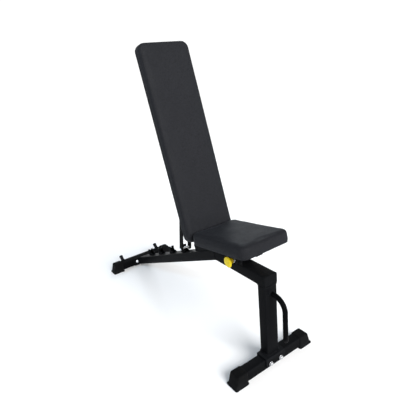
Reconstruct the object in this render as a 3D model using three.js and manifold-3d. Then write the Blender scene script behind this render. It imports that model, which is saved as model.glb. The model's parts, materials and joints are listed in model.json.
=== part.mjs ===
// Adjustable weight bench, reclining back and tilting seat.
// Units are millimetres. +X points to the seat's front, +Y to the left, +Z up.
// The back and the seat are modelled lying flat about their hinges, then raised by their angles.
import * as THREE from 'three';
import { mergeVertices } from 'three/addons/utils/BufferGeometryUtils.js';
import Module from 'manifold-3d';

const wasm = await Module();
wasm.setup();

// ---------------------------------------------------------------- driving dimensions
const GAP = 0.3; // between pieces that touch
const RUN = 0.4; // radial play of a pin in its bore
const DEG = Math.PI / 180;

// tubes: width across the bench, height, wall, outer corner radius
const FOOT_TUBE = { width: 50, height: 50, wall: 2.5, corner: 5 };
const BEAM_TUBE = { width: 70, height: 50, wall: 3, corner: 6 };
const POST_TUBE = { width: 66, height: 48, wall: 3, corner: 6 };
const BACK_TUBE = { width: 40, height: 40, wall: 2.5, corner: 4 };
const SEAT_TUBE = { width: 40, height: 30, wall: 2.5, corner: 4 };

// feet
const FRONT_SPAN = 460; // over the boots
const REAR_SPAN = 452;
const WHEELBASE = 1291; // front foot to rear foot
const SOLE = 8; // boot under the tube
const BOOT_WALL = 3;
const BOOT_LENGTH = 73.5;
const BOOT_BASE_WIDTH = 68;
const BOOT_RAKE = 19; // the outer face leans in by this much
const BOOT_END_WALL = 5;
const BOOT_RIM = 4; // upright edge round the sole

// welded frame
const BEAM_TOP = 456;
const BEAM_FRONT = 17;
const END_CAP = 4;
const POST_FRONT = 17;
const BEND_X = -327; // top corner of the bend between the beam and the rail
const PLATE = 6;
const SADDLE = { width: 110, drop: 38, boltSpread: 60, boltHeight: 32 };
const FLANGE = { width: 140, height: 54, boltSpread: 104, boltHeight: 36 };
const BOLT_M10 = { shank: 5, head: 8.5, headHeight: 6.4, nutHeight: 8 };
const BOLT_M12 = { shank: 6, head: 9.5, headHeight: 7.5, nutHeight: 9 };

// lift handle
const HANDLE = { radius: 11, wall: 2, belowBeam: 37, reach: 76, bend: 56, bottom: 184, plug: 12, plugLip: 1 };

// band pegs on the rear foot
const PEG = { radius: 11, spread: 264, angle: 40 * DEG, length: 62, cap: 9, capLip: 1.5 };

// ladder on the rail: stops that hold the strut's foot pin, the first one placed from the bend and the
// last one from the flange, with the others evenly between
const STOP = { count: 5, first: 200.9, last: 160.128117, width: 26, wall: 6, length: 26, shelf: 18,
  shelfHeight: 12.5, height: 40 };
const FOOT_PIN = { radius: 7, proud: 4 };
const REST_STOP = 1; // the stop that holds the strut in the raised pose
const FLAT_STOP = 4; // the stop that holds it with the back flat

// hinges, placed from the bend's top corner
const BACK_HINGE_AT = { behind: 118.4, rise: 37.7 };
const SEAT_HINGE_AT = { ahead: 1.7, rise: 36.5 };
const BACK_ANGLE = 74.1 * DEG; // from flat
const SEAT_ANGLE = 8.7 * DEG;
const BRACKET = { room: 4, plate: 6, eye: 17 };

// pads
const PAD_THICKNESS = 54;
const PAD_WIDTH = 264;
const PAD_CORNER = 36;
const BOARD = { thickness: 12, inset: 7 };
const SPREADER = { thickness: 4, width: 44, length: 200 };
const BACK_PAD_LENGTH = 925;
const BACK_PAD_BELOW_HINGE = 13;
const SEAT_PAD_LENGTH = 382;
const PAD_CLEARANCE = 4.308897; // from the raised back pad's face to the seat pad's lower rear edge
const BACK_TUBE_LENGTH = 640;
const BACK_TUBE_TAIL = 24; // past the hinge
const BACK_SPREADERS = [120, 560]; // from the hinge
const SEAT_TUBE_LENGTH = 300;
const SEAT_TUBE_TAIL = 20;
const SEAT_SPREADERS = [40, 268];

// strut
const STRUT_LUG_DROP = 30; // pivot below the back tube's centre line
const STRUT = { room: 3, plate: 6, width: 30, braceAt: 0.55, brace: 22 };

// yoke under the seat, pop pin and index plate; the pin is placed from the seat's hinge and the beam
const YOKE = { room: 1, plate: 5, reach: 50, drop: 62 };
const POP = { ahead: 157.3, rise: 14, shank: 4, thread: 7, barrel: 9, chamber: 6.3, hex: 12.5, hexHeight: 7.7,
  barrelOut: 30, knobOut: 43, discRadius: 25, disc: 9, neck: 13, collar: 5.6 };
const SPRING = { wire: 0.6, coils: 5 };
const INDEX_PLATE = { behind: 46, ahead: 44, height: 50, hole: 4.6, step: 4.34 * DEG };

// ---------------------------------------------------------------- derived places
const tubeTop = SOLE + FOOT_TUBE.height;
const bootTop = tubeTop + BOOT_WALL;
const bootTopWidth = FOOT_TUBE.width + 2 * BOOT_WALL;
const saddleTop = tubeTop + GAP + PLATE;
const beamBottom = BEAM_TOP - BEAM_TUBE.height;
const railEndX = -WHEELBASE + FOOT_TUBE.width / 2 + 2 * GAP + PLATE;
const railAngle = Math.atan2(BEAM_TOP - SOLE - FLANGE.height, BEND_X - railEndX);
const railLength = (BEND_X - railEndX) / Math.cos(railAngle);
const stopPitch = (railLength - STOP.first - STOP.last) / (STOP.count - 1);
const handleZ = beamBottom - HANDLE.belowBeam;
const BACK_HINGE = { x: BEND_X - BACK_HINGE_AT.behind, z: BEAM_TOP + BACK_HINGE_AT.rise };
const SEAT_HINGE = { x: BEND_X + SEAT_HINGE_AT.ahead, z: BEAM_TOP + SEAT_HINGE_AT.rise };
const bracketInner = Math.max(BACK_TUBE.width, SEAT_TUBE.width) / 2 + BRACKET.room;
const bracketOuter = bracketInner + BRACKET.plate;
const strutInner = Math.max(BACK_TUBE.width, STOP.width) / 2 + STRUT.room;
const strutOuter = strutInner + STRUT.plate;
const yokeInner = BEAM_TUBE.width / 2 + YOKE.room;
const yokeOuter = yokeInner + YOKE.plate;
const backBoardZ = BACK_TUBE.height / 2 + SPREADER.thickness + 2 * GAP;
const seatBoardZ = SEAT_TUBE.height / 2 + SPREADER.thickness + 2 * GAP;
const padMeet = BACK_ANGLE + SEAT_ANGLE; // between the two pads' faces
const seatPadBehind = ((SEAT_HINGE.x - BACK_HINGE.x) * Math.sin(BACK_ANGLE)
  + (SEAT_HINGE.z - BACK_HINGE.z) * Math.cos(BACK_ANGLE) + seatBoardZ * Math.cos(padMeet)
  - backBoardZ - PAD_THICKNESS - PAD_CLEARANCE) / Math.sin(padMeet);
const pinAhead = STOP.length / 2 + RUN + FOOT_PIN.radius; // uphill of a stop's centre
const pinHeight = STOP.shelfHeight + RUN + FOOT_PIN.radius; // above the rail

// A point on the rail, `along` down from the bend and `up` from its top face.
function onRail(along, up) {
  return new THREE.Vector2(
    BEND_X - along * Math.cos(railAngle) - up * Math.sin(railAngle),
    BEAM_TOP - along * Math.sin(railAngle) + up * Math.cos(railAngle));
}

// A point of the back, `along` up from the hinge and `out` towards the sitter, at a given angle.
function onBack(along, out, angle) {
  return new THREE.Vector2(
    BACK_HINGE.x - along * Math.cos(angle) + out * Math.sin(angle),
    BACK_HINGE.z + along * Math.sin(angle) + out * Math.cos(angle));
}

// The strut reaches the upper stop with the back raised and the lower stop with it flat, so its
// pivot's distance up the back follows from the two foot places.
const catchAlong = (stop) => STOP.first + stop * stopPitch - pinAhead;
const hinge = new THREE.Vector2(BACK_HINGE.x, BACK_HINGE.z);
const footRaised = onRail(catchAlong(REST_STOP), pinHeight);
const footFlat = onRail(catchAlong(FLAT_STOP), pinHeight);
function strutPivotReach() {
  const raised = footRaised.clone().sub(hinge);
  const flat = footFlat.clone().sub(hinge);
  const upRaised = onBack(1, 0, BACK_ANGLE).sub(hinge);
  const outRaised = onBack(0, 1, BACK_ANGLE).sub(hinge);
  const upFlat = onBack(1, 0, 0).sub(hinge);
  const outFlat = onBack(0, 1, 0).sub(hinge);
  const offset = -STRUT_LUG_DROP;
  const turn = outRaised.dot(raised) - outFlat.dot(flat);
  const spare = flat.lengthSq() - raised.lengthSq() + 2 * offset * turn;
  return spare / (2 * (upFlat.dot(flat) - upRaised.dot(raised)));
}
const strutReach = strutPivotReach();
const strutPivot = onBack(strutReach, -STRUT_LUG_DROP, BACK_ANGLE);
const strutLine = footRaised.clone().sub(strutPivot);
const strutLength = strutLine.length();
const strutLean = Math.atan2(-strutLine.x, -strutLine.y);

// ---------------------------------------------------------------- finishes
const finish = (color, roughness, metalness) => ({ color, roughness, metalness });
const BLACK_PAINT = finish(0x131315, 0.38, 0.3);
const BLACK_LEATHER = finish(0x232429, 0.55, 0);
const BLACK_RUBBER = finish(0x161616, 0.8, 0);
const BLACK_PLASTIC = finish(0x18181a, 0.5, 0);
const ZINC = finish(0xc9ccd0, 0.3, 1);
const YELLOW_PLASTIC = finish(0xe8d80c, 0.35, 0);
const PLYWOOD = finish(0xb58b5a, 0.7, 0);

const bench = new THREE.Group();
const back = new THREE.Group();
const seat = new THREE.Group();
const strut = new THREE.Group();
const rail = new THREE.Group();
back.position.set(BACK_HINGE.x, 0, BACK_HINGE.z);
back.rotation.y = BACK_ANGLE;
seat.position.set(SEAT_HINGE.x, 0, SEAT_HINGE.z);
seat.rotation.y = -SEAT_ANGLE;
strut.position.set(strutPivot.x, 0, strutPivot.y);
strut.rotation.y = strutLean;
rail.position.set(BEND_X, 0, BEAM_TOP);
rail.rotation.y = -railAngle;
bench.add(back, seat, strut, rail);

function piece(name, geometry, look, parent = bench) {
  geometry.computeVertexNormals();
  const mesh = new THREE.Mesh(geometry, new THREE.MeshStandardMaterial(look));
  mesh.name = name;
  parent.add(mesh);
  return mesh;
}

// ---------------------------------------------------------------- solids
function solid(geometry) {
  const bare = geometry.index ? geometry.toNonIndexed() : geometry.clone();
  bare.deleteAttribute('normal');
  bare.deleteAttribute('uv');
  const merged = mergeVertices(bare, 1e-4);
  return new wasm.Manifold(new wasm.Mesh({
    numProp: 3,
    vertProperties: new Float32Array(merged.attributes.position.array),
    triVerts: new Uint32Array(merged.index.array),
  }));
}

function toGeometry(manifold) {
  const mesh = manifold.getMesh();
  const geometry = new THREE.BufferGeometry();
  geometry.setAttribute('position', new THREE.BufferAttribute(new Float32Array(mesh.vertProperties), 3));
  geometry.setIndex(new THREE.BufferAttribute(new Uint32Array(mesh.triVerts), 1));
  return geometry;
}

const join = (first, ...rest) =>
  toGeometry(rest.reduce((sum, geometry) => sum.add(solid(geometry)), solid(first)));
const cut = (first, ...rest) =>
  toGeometry(rest.reduce((sum, geometry) => sum.subtract(solid(geometry)), solid(first)));
const common = (first, second) => toGeometry(solid(first).intersect(solid(second)));

function box(x, y, z) {
  const geometry = new THREE.BoxGeometry(x[1] - x[0], y[1] - y[0], z[1] - z[0]);
  return geometry.translate((x[0] + x[1]) / 2, (y[0] + y[1]) / 2, (z[0] + z[1]) / 2);
}

function roundedRect(width, height, radius, Kind = THREE.Shape) {
  const [w, h] = [width / 2, height / 2];
  const outline = new Kind();
  outline.moveTo(w - radius, -h);
  outline.absarc(w - radius, -h + radius, radius, -Math.PI / 2, 0);
  outline.absarc(w - radius, h - radius, radius, 0, Math.PI / 2);
  outline.absarc(-w + radius, h - radius, radius, Math.PI / 2, Math.PI);
  outline.absarc(-w + radius, -h + radius, radius, Math.PI, 1.5 * Math.PI);
  return outline;
}

const extrude = (shape, depth, curveSegments) =>
  new THREE.ExtrudeGeometry(shape, { depth, bevelEnabled: false, curveSegments });

// A hollow tube along Z from 0 to length, width along X and height along Y.
function tube(section, length) {
  const shape = roundedRect(section.width, section.height, section.corner);
  const inside = section.corner - section.wall + 0.5;
  const shrink = 2 * section.wall;
  shape.holes.push(roundedRect(section.width - shrink, section.height - shrink, inside, THREE.Path));
  return extrude(shape, length, 4);
}

// The same tube along X, with its width across the bench and its height along Z.
function tubeAlongX(section, from, to) {
  return tube(section, to - from).rotateZ(Math.PI / 2).rotateY(Math.PI / 2).translate(from, 0, 0);
}

// A profile given in X and Z, with a thickness across the bench from y0 to y1.
function profile(shape, y0, y1, curveSegments = 10) {
  return extrude(shape, y1 - y0, curveSegments).rotateX(Math.PI / 2).translate(0, y1, 0);
}

function polygon(points) {
  return new THREE.Shape(points.map(([x, y]) => new THREE.Vector2(x, y)));
}

// A round bar across the bench.
function bar(x, z, radius, y0, y1, segments = 16) {
  return new THREE.CylinderGeometry(radius, radius, y1 - y0, segments).translate(x, (y0 + y1) / 2, z);
}

// A round bar along X.
function barAlongX(y, z, radius, x0, x1, segments = 12) {
  const geometry = new THREE.CylinderGeometry(radius, radius, x1 - x0, segments).rotateZ(Math.PI / 2);
  return geometry.translate((x0 + x1) / 2, y, z);
}

// A turned piece: [radius, distance] points, with the distance along the local Y axis.
function turned(points, segments = 24) {
  return new THREE.LatheGeometry(points.map(([r, y]) => new THREE.Vector2(r, y)), segments);
}

// A hexagon bolt along Y: its head's underside at y = 0 and its shank towards +Y.
function boltAlongY(size, length) {
  const head = new THREE.CylinderGeometry(size.head, size.head, size.headHeight, 6);
  const shank = new THREE.CylinderGeometry(size.shank, size.shank, length + 1, 12);
  return join(head.translate(0, -size.headHeight / 2, 0), shank.translate(0, (length - 1) / 2, 0));
}

// Its nut, from y = 0 to its height.
function nutAlongY(size) {
  const body = new THREE.CylinderGeometry(size.head, size.head, size.nutHeight, 6);
  const bore = new THREE.CylinderGeometry(size.shank + GAP, size.shank + GAP, size.nutHeight + 2, 12);
  return cut(body, bore).translate(0, size.nutHeight / 2, 0);
}

// ---------------------------------------------------------------- feet
const tubeCentreZ = SOLE + FOOT_TUBE.height / 2;

function footTube(name, x, span, holes) {
  const half = span / 2 - BOOT_RAKE - BOOT_END_WALL - GAP;
  const body = tube(FOOT_TUBE, 2 * half).rotateX(Math.PI / 2).translate(x, half, tubeCentreZ);
  const reach = FOOT_TUBE.width / 2 + 5;
  const bores = holes.map(([y, z]) => barAlongX(y, z, BOLT_M10.shank + RUN, x - reach, x + reach));
  piece(name, cut(body, ...bores), BLACK_PAINT);
}

// A boot: a block that tapers to its top, leaning in at its outer end, over the tube's end.
function boot(name, x, span, side) {
  const [base, top] = [BOOT_BASE_WIDTH / 2, bootTopWidth / 2];
  const ends = polygon([[-base, 0], [base, 0], [base, BOOT_RIM], [top, bootTop], [-top, bootTop],
    [-base, BOOT_RIM]]);
  const across = profile(ends, 0, BOOT_LENGTH);
  const length = BOOT_LENGTH;
  const sides = polygon([[0, 0], [length, 0], [length, BOOT_RIM], [length - BOOT_RAKE, bootTop],
    [0, bootTop]]);
  const along = profile(sides, -base, base).rotateZ(Math.PI / 2);
  const room = FOOT_TUBE.width / 2 + GAP;
  const depth = BOOT_LENGTH - BOOT_RAKE - BOOT_END_WALL;
  const pocket = box([-room, room], [-1, depth], [SOLE - GAP, tubeTop + GAP]);
  const body = cut(common(across, along), pocket);
  if (side < 0) body.rotateZ(Math.PI);
  piece(name, body.translate(x, side * (span / 2 - BOOT_LENGTH), 0), BLACK_RUBBER);
}

const saddleHoles = [-1, 1].map((side) => [side * SADDLE.boltSpread / 2, SADDLE.boltHeight]);
const flangeHoles = [-1, 1].map((side) => [side * FLANGE.boltSpread / 2, FLANGE.boltHeight]);
footTube('front_foot_tube', 0, FRONT_SPAN, saddleHoles);
footTube('rear_foot_tube', -WHEELBASE, REAR_SPAN, flangeHoles);
boot('front_boot_left', 0, FRONT_SPAN, 1);
boot('front_boot_right', 0, FRONT_SPAN, -1);
boot('rear_boot_left', -WHEELBASE, REAR_SPAN, 1);
boot('rear_boot_right', -WHEELBASE, REAR_SPAN, -1);

// Bolts through a foot tube: heads at the front, nuts behind.
function footBolts(name, holes, front, rear) {
  const length = front - rear + BOLT_M10.nutHeight + 3;
  holes.forEach(([y, z], index) => {
    const side = index ? 'left' : 'right';
    const bolt = boltAlongY(BOLT_M10, length).rotateZ(Math.PI / 2);
    piece(`${name}_bolt_${side}`, bolt.translate(front + GAP, y, z), ZINC);
    const nut = nutAlongY(BOLT_M10).rotateZ(Math.PI / 2);
    piece(`${name}_nut_${side}`, nut.translate(rear - GAP, y, z), ZINC);
  });
}

// ---------------------------------------------------------------- front post and its saddle
function postSaddle() {
  const inside = FOOT_TUBE.width / 2 + GAP;
  const outside = inside + PLATE;
  const half = SADDLE.width / 2;
  const bottom = tubeTop + GAP - SADDLE.drop;
  const block = box([-outside, outside], [-half, half], [bottom, saddleTop]);
  const room = box([-inside, inside], [-half - 1, half + 1], [bottom - 1, tubeTop + GAP]);
  const bores = saddleHoles.map(([y, z]) =>
    barAlongX(y, z, BOLT_M10.shank + RUN, -outside - 1, outside + 1));
  piece('post_saddle', cut(block, room, ...bores), BLACK_PAINT);
  footBolts('saddle', saddleHoles, outside, -outside);
}
postSaddle();

const postLength = beamBottom - GAP - (saddleTop + GAP);
const post = tube(POST_TUBE, postLength).rotateZ(Math.PI / 2);
piece('front_post', post.translate(POST_FRONT - POST_TUBE.height / 2, 0, saddleTop + GAP), BLACK_PAINT);

// The handle's centre line: straight out of the post, a quarter bend, then straight down.
class LiftHandleLine extends THREE.Curve {
  getPoint(t) {
    const out = HANDLE.reach - HANDLE.bend - GAP;
    const arc = HANDLE.bend * Math.PI / 2;
    const down = handleZ - HANDLE.bend - HANDLE.bottom;
    const s = t * (out + arc + down);
    const bendX = POST_FRONT + HANDLE.reach - HANDLE.bend;
    const turn = Math.min(Math.max((s - out) / HANDLE.bend, 0), Math.PI / 2);
    const x = Math.min(s - out, 0) + HANDLE.bend * Math.sin(turn);
    const z = HANDLE.bend * (Math.cos(turn) - 1) - Math.max(s - out - arc, 0);
    return new THREE.Vector3(bendX + x, 0, handleZ + z);
  }
}

function liftHandle() {
  const ring = new THREE.Shape().absarc(0, 0, HANDLE.radius, 0, 2 * Math.PI);
  ring.holes.push(new THREE.Path().absarc(0, 0, HANDLE.radius - HANDLE.wall, 0, 2 * Math.PI));
  const path = new LiftHandleLine();
  const body = new THREE.ExtrudeGeometry(ring, { steps: 20, curveSegments: 8, extrudePath: path });
  piece('lift_handle', body, BLACK_PAINT);
  const lip = HANDLE.radius + HANDLE.plugLip;
  const top = HANDLE.plug;
  const dome = turned([[0, 0], [lip - 4, 0], [lip - 1, 1.5], [lip, 4.5], [lip, top], [0, top]]);
  dome.rotateX(Math.PI / 2).translate(POST_FRONT + HANDLE.reach, 0, HANDLE.bottom - GAP - top);
  piece('lift_handle_plug', dome, BLACK_PLASTIC);
}
liftHandle();

// ---------------------------------------------------------------- beam, rail and ladder
const popLocal = new THREE.Vector2(POP.ahead, BEAM_TOP + POP.rise - SEAT_HINGE.z);
popLocal.rotateAround(new THREE.Vector2(), -SEAT_ANGLE);

// Where the pop pin stands in the bench when the seat is turned to an angle from flat.
function popAt(angle) {
  const spot = popLocal.clone().rotateAround(new THREE.Vector2(), angle);
  return spot.add(new THREE.Vector2(SEAT_HINGE.x, SEAT_HINGE.z));
}

function mainBeam() {
  const end = BEAM_FRONT - END_CAP - GAP;
  const body = tubeAlongX(BEAM_TUBE, BEND_X - 60, end).translate(0, 0, BEAM_TOP - BEAM_TUBE.height / 2);
  const mitre = box([-400, GAP / 2], [-100, 100], [-300, 300]).rotateY(-railAngle / 2);
  const flat = popAt(0);
  const side = -BEAM_TUBE.width / 2;
  const pinHole = bar(flat.x, flat.y, INDEX_PLATE.hole, side - 1, side + BEAM_TUBE.wall + 1);
  piece('main_beam', cut(body, mitre.translate(BEND_X, 0, BEAM_TOP), pinHole), BLACK_PAINT);

  const face = roundedRect(BEAM_TUBE.width, BEAM_TUBE.height, BEAM_TUBE.corner);
  const cap = extrude(face, END_CAP, 4).rotateZ(Math.PI / 2).rotateY(Math.PI / 2);
  const room = BEAM_TUBE.wall + 1.5;
  const spigot = box([-14, 1], [room - BEAM_TUBE.width / 2, BEAM_TUBE.width / 2 - room],
    [room - BEAM_TUBE.height / 2, BEAM_TUBE.height / 2 - room]);
  const plug = join(cap, spigot).translate(BEAM_FRONT - END_CAP, 0, BEAM_TOP - BEAM_TUBE.height / 2);
  piece('beam_end_cap', plug, BLACK_PAINT);
}
mainBeam();

function rearRail() {
  const length = (BEND_X - railEndX) / Math.cos(railAngle) + BEAM_TUBE.height;
  const body = tubeAlongX(BEAM_TUBE, -length, 60).translate(0, 0, -BEAM_TUBE.height / 2);
  const mitre = box([-GAP / 2, 400], [-100, 100], [-300, 300]).rotateY(railAngle / 2);
  const rear = box([-400, 0], [-100, 100], [-900, 300]).translate(railEndX - BEND_X, 0, 0);
  piece('rear_rail', cut(body, mitre, rear.rotateY(railAngle)), BLACK_PAINT, rail);
}
rearRail();

function railFlange() {
  const rear = railEndX - GAP - PLATE;
  const half = FLANGE.width / 2;
  const plate = box([rear, rear + PLATE], [-half, half], [SOLE, SOLE + FLANGE.height]);
  const bore = BOLT_M10.shank + RUN;
  const bores = flangeHoles.map(([y, z]) => barAlongX(y, z, bore, rear - 1, rear + PLATE + 1));
  piece('rail_flange', cut(plate, ...bores), BLACK_PAINT);
  footBolts('flange', flangeHoles, rear + PLATE, -WHEELBASE - FOOT_TUBE.width / 2);
}
railFlange();

function bandPeg(name, side) {
  const turn = PEG.angle - Math.PI / 2;
  const [x, y] = [-WHEELBASE, side * PEG.spread / 2];
  const post = new THREE.CylinderGeometry(PEG.radius, PEG.radius, PEG.length, 16).rotateX(Math.PI / 2);
  post.translate(0, 0, PEG.length / 2).rotateY(turn).translate(x, y, tubeCentreZ);
  const half = FOOT_TUBE.width / 2 + GAP;
  const foot = box([x - half, x + half], [y - 40, y + 40], [SOLE - GAP, tubeTop + GAP]);
  piece(name, cut(post, foot), BLACK_PAINT);
  const lip = PEG.radius + PEG.capLip;
  const top = PEG.cap;
  const knob = turned([[0, 0], [lip, 0], [lip, top - 4], [lip - 1.5, top - 1.3], [lip - 5, top], [0, top]]);
  knob.rotateX(Math.PI / 2).translate(0, 0, PEG.length + GAP).rotateY(turn);
  piece(`${name}_cap`, knob.translate(x, y, tubeCentreZ), BLACK_PLASTIC);
}
bandPeg('band_peg_left', 1);
bandPeg('band_peg_right', -1);

// A ladder stop: two hooked side plates and a back wall, open uphill for the foot pin.
function ladderStop(index) {
  const [rear, face] = [-STOP.length / 2, STOP.length / 2];
  const front = face + STOP.shelf;
  const hook = polygon([[rear, GAP], [front, GAP], [front, STOP.shelfHeight], [face, STOP.shelfHeight],
    [face, STOP.height - 10], [face + 3, STOP.height - 7], [face + 3, STOP.height], [rear + 7, STOP.height],
    [rear, STOP.height - 10]]);
  const half = STOP.width / 2;
  const left = profile(hook, half - STOP.wall, half);
  const right = profile(hook, -half, STOP.wall - half);
  const wall = box([rear, rear + STOP.wall], [-half + 1, half - 1], [GAP, STOP.height - 10]);
  const along = STOP.first + index * stopPitch;
  piece(`ladder_stop_${index + 1}`, join(left, right, wall).translate(-along, 0, 0), BLACK_PAINT, rail);
}
for (let index = 0; index < STOP.count; index += 1) ladderStop(index);

// ---------------------------------------------------------------- pivot brackets and index plate
function pivotBracket(name, side) {
  const [eye, dip] = [BRACKET.eye, BEAM_TOP + 18];
  const [s, b] = [SEAT_HINGE, BACK_HINGE];
  const heel = onRail((BEND_X - b.x + eye + 18) / Math.cos(railAngle), GAP);
  const outline = new THREE.Shape();
  outline.moveTo(s.x + eye + 12, BEAM_TOP + GAP);
  outline.absarc(s.x, s.z, eye, 0, Math.PI);
  outline.lineTo(s.x - eye - 6, dip);
  outline.lineTo(b.x + eye + 4, dip);
  outline.absarc(b.x, b.z, eye, 0, Math.PI);
  outline.lineTo(heel.x, heel.y);
  outline.lineTo(BEND_X - 1, BEAM_TOP + GAP);
  const [y0, y1] = side > 0 ? [bracketInner, bracketOuter] : [-bracketOuter, -bracketInner];
  const bore = BOLT_M12.shank + RUN;
  const bores = [bar(s.x, s.z, bore, y0 - 1, y1 + 1), bar(b.x, b.z, bore, y0 - 1, y1 + 1)];
  piece(name, cut(profile(outline, y0, y1), ...bores), BLACK_PAINT);
}
pivotBracket('pivot_bracket_left', 1);
pivotBracket('pivot_bracket_right', -1);

function pivotBolt(name, x, z, half, parent) {
  const length = 2 * half + BOLT_M12.nutHeight + 3;
  piece(`${name}_bolt`, boltAlongY(BOLT_M12, length).translate(x, -half - GAP, z), ZINC, parent);
  piece(`${name}_nut`, nutAlongY(BOLT_M12).translate(x, half + GAP, z), ZINC, parent);
}
pivotBolt('back_pivot', BACK_HINGE.x, BACK_HINGE.z, bracketOuter, bench);
pivotBolt('seat_pivot', SEAT_HINGE.x, SEAT_HINGE.z, bracketOuter, bench);

function indexPlate() {
  const outer = -BEAM_TUBE.width / 2;
  const inner = outer + PLATE;
  const pinX = SEAT_HINGE.x + POP.ahead;
  const [rear, front] = [pinX - INDEX_PLATE.behind, pinX + INDEX_PLATE.ahead];
  const [foot, top] = [BEAM_TOP + GAP, BEAM_TOP + INDEX_PLATE.height];
  const outline = polygon([[rear, foot], [front, foot], [front, top - 26], [front - 14, top],
    [rear + 14, top], [rear, top - 26]]);
  const spots = [popAt(SEAT_ANGLE), popAt(SEAT_ANGLE + INDEX_PLATE.step)];
  const bores = spots.map((spot) => bar(spot.x, spot.y, INDEX_PLATE.hole, outer - 1, inner + 1));
  piece('index_plate', cut(profile(outline, outer, inner), ...bores), BLACK_PAINT);
}
indexPlate();

// ---------------------------------------------------------------- pads, boards and spreaders
function padAndBoard(name, from, length, bottom, parent) {
  const middle = from + length / 2;
  const outer = roundedRect(length, PAD_WIDTH, PAD_CORNER);
  const shrink = 2 * BOARD.inset;
  const inner = roundedRect(length - shrink, PAD_WIDTH - shrink, PAD_CORNER - BOARD.inset);
  const room = 2 * (BOARD.inset - GAP);
  const pocket = roundedRect(length - room, PAD_WIDTH - room, PAD_CORNER - BOARD.inset + GAP);
  const foam = extrude(outer, PAD_THICKNESS, 8).translate(middle, 0, bottom);
  const recess = extrude(pocket, BOARD.thickness + GAP + 1, 8).translate(middle, 0, bottom - 1);
  piece(`${name}_pad`, cut(foam, recess), BLACK_LEATHER, parent);
  piece(`${name}_board`, extrude(inner, BOARD.thickness, 8).translate(middle, 0, bottom), PLYWOOD, parent);
}

function spreader(name, x, tubeHeight, parent) {
  const [w, l] = [SPREADER.width / 2, SPREADER.length / 2];
  const bottom = tubeHeight / 2 + GAP;
  const shape = roundedRect(2 * w, 2 * l, 8);
  piece(name, extrude(shape, SPREADER.thickness, 3).translate(x, 0, bottom), BLACK_PAINT, parent);
}

function bush(name, radius, parent) {
  const half = bracketInner - 1;
  const sleeve = cut(bar(0, 0, radius, -half, half), bar(0, 0, BOLT_M12.shank + RUN, -half - 1, half + 1));
  piece(name, sleeve, finish(0xb9a46a, 0.4, 1), parent);
}

// ---------------------------------------------------------------- back
const BACK_BUSH = 10;
function backTube() {
  const from = BACK_TUBE_TAIL - BACK_TUBE_LENGTH;
  const body = tubeAlongX(BACK_TUBE, from, BACK_TUBE_TAIL);
  const half = strutInner - 1;
  const boss = bar(-strutReach, -STRUT_LUG_DROP, 12, -half, half);
  const bore = bar(-strutReach, -STRUT_LUG_DROP, BOLT_M12.shank + RUN, -half - 1, half + 1);
  piece('back_tube', cut(join(body, boss), bore, bar(0, 0, BACK_BUSH + GAP, -50, 50)), BLACK_PAINT, back);
  const face = extrude(roundedRect(BACK_TUBE.height, BACK_TUBE.width, BACK_TUBE.corner), 3, 3);
  const across = BACK_TUBE.width / 2 - BACK_TUBE.wall - 1;
  const tall = BACK_TUBE.height / 2 - BACK_TUBE.wall - 1;
  const plug = join(face.rotateY(-Math.PI / 2), box([-1, 14], [-across, across], [-tall, tall]));
  piece('back_tube_plug', plug.translate(from - GAP, 0, 0), BLACK_PLASTIC, back);
}
backTube();
bush('back_pivot_bush', BACK_BUSH, back);
spreader('back_spreader_lower', -BACK_SPREADERS[0], BACK_TUBE.height, back);
spreader('back_spreader_upper', -BACK_SPREADERS[1], BACK_TUBE.height, back);
padAndBoard('back', BACK_PAD_BELOW_HINGE - BACK_PAD_LENGTH, BACK_PAD_LENGTH, backBoardZ, back);

// ---------------------------------------------------------------- seat
const SEAT_BUSH = 9;
const seatTube = tubeAlongX(SEAT_TUBE, -SEAT_TUBE_TAIL, SEAT_TUBE_LENGTH - SEAT_TUBE_TAIL);
piece('seat_tube', cut(seatTube, bar(0, 0, SEAT_BUSH + GAP, -50, 50)), BLACK_PAINT, seat);
bush('seat_pivot_bush', SEAT_BUSH, seat);
spreader('seat_spreader_rear', SEAT_SPREADERS[0], SEAT_TUBE.height, seat);
spreader('seat_spreader_front', SEAT_SPREADERS[1], SEAT_TUBE.height, seat);
padAndBoard('seat', -seatPadBehind, SEAT_PAD_LENGTH, seatBoardZ, seat);

// The yoke under the seat: a top plate over the tube and a cheek on each side of the beam.
function seatYoke() {
  const [rear, front] = [POP.ahead - YOKE.reach, POP.ahead + YOKE.reach];
  const under = SEAT_TUBE.height / 2 + GAP;
  const top = under + SPREADER.thickness;
  const waist = -SEAT_TUBE.height / 2 - 3;
  const cheek = polygon([[rear, top], [rear + 8, waist], [popLocal.x - 22, -YOKE.drop],
    [popLocal.x + 22, -YOKE.drop], [front - 8, waist], [front, top]]);
  const left = profile(cheek, yokeInner, yokeOuter);
  const right = profile(cheek, -yokeOuter, -yokeInner);
  const bridge = box([rear, front], [1 - yokeOuter, yokeOuter - 1], [under, top]);
  const bore = bar(popLocal.x, popLocal.y, POP.thread + GAP, -yokeOuter - 1, 1 - yokeInner);
  piece('seat_yoke', cut(join(left, right, bridge), bore), BLACK_PAINT, seat);
}
seatYoke();

// ---------------------------------------------------------------- pop pin
// Its pieces are turned about the pin's axis, with distances out from the bench's middle.
function popPiece(name, geometry, look) {
  piece(name, geometry.translate(popLocal.x, 0, popLocal.y), look, seat);
}

const barrelEnd = yokeInner + POP.barrelOut;
const knobFace = yokeInner + POP.knobOut;
const chamberInner = yokeInner + 8;
const chamberOuter = barrelEnd - 2;
const hexInner = yokeOuter + GAP;
const hexOuter = hexInner + POP.hexHeight;

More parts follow.
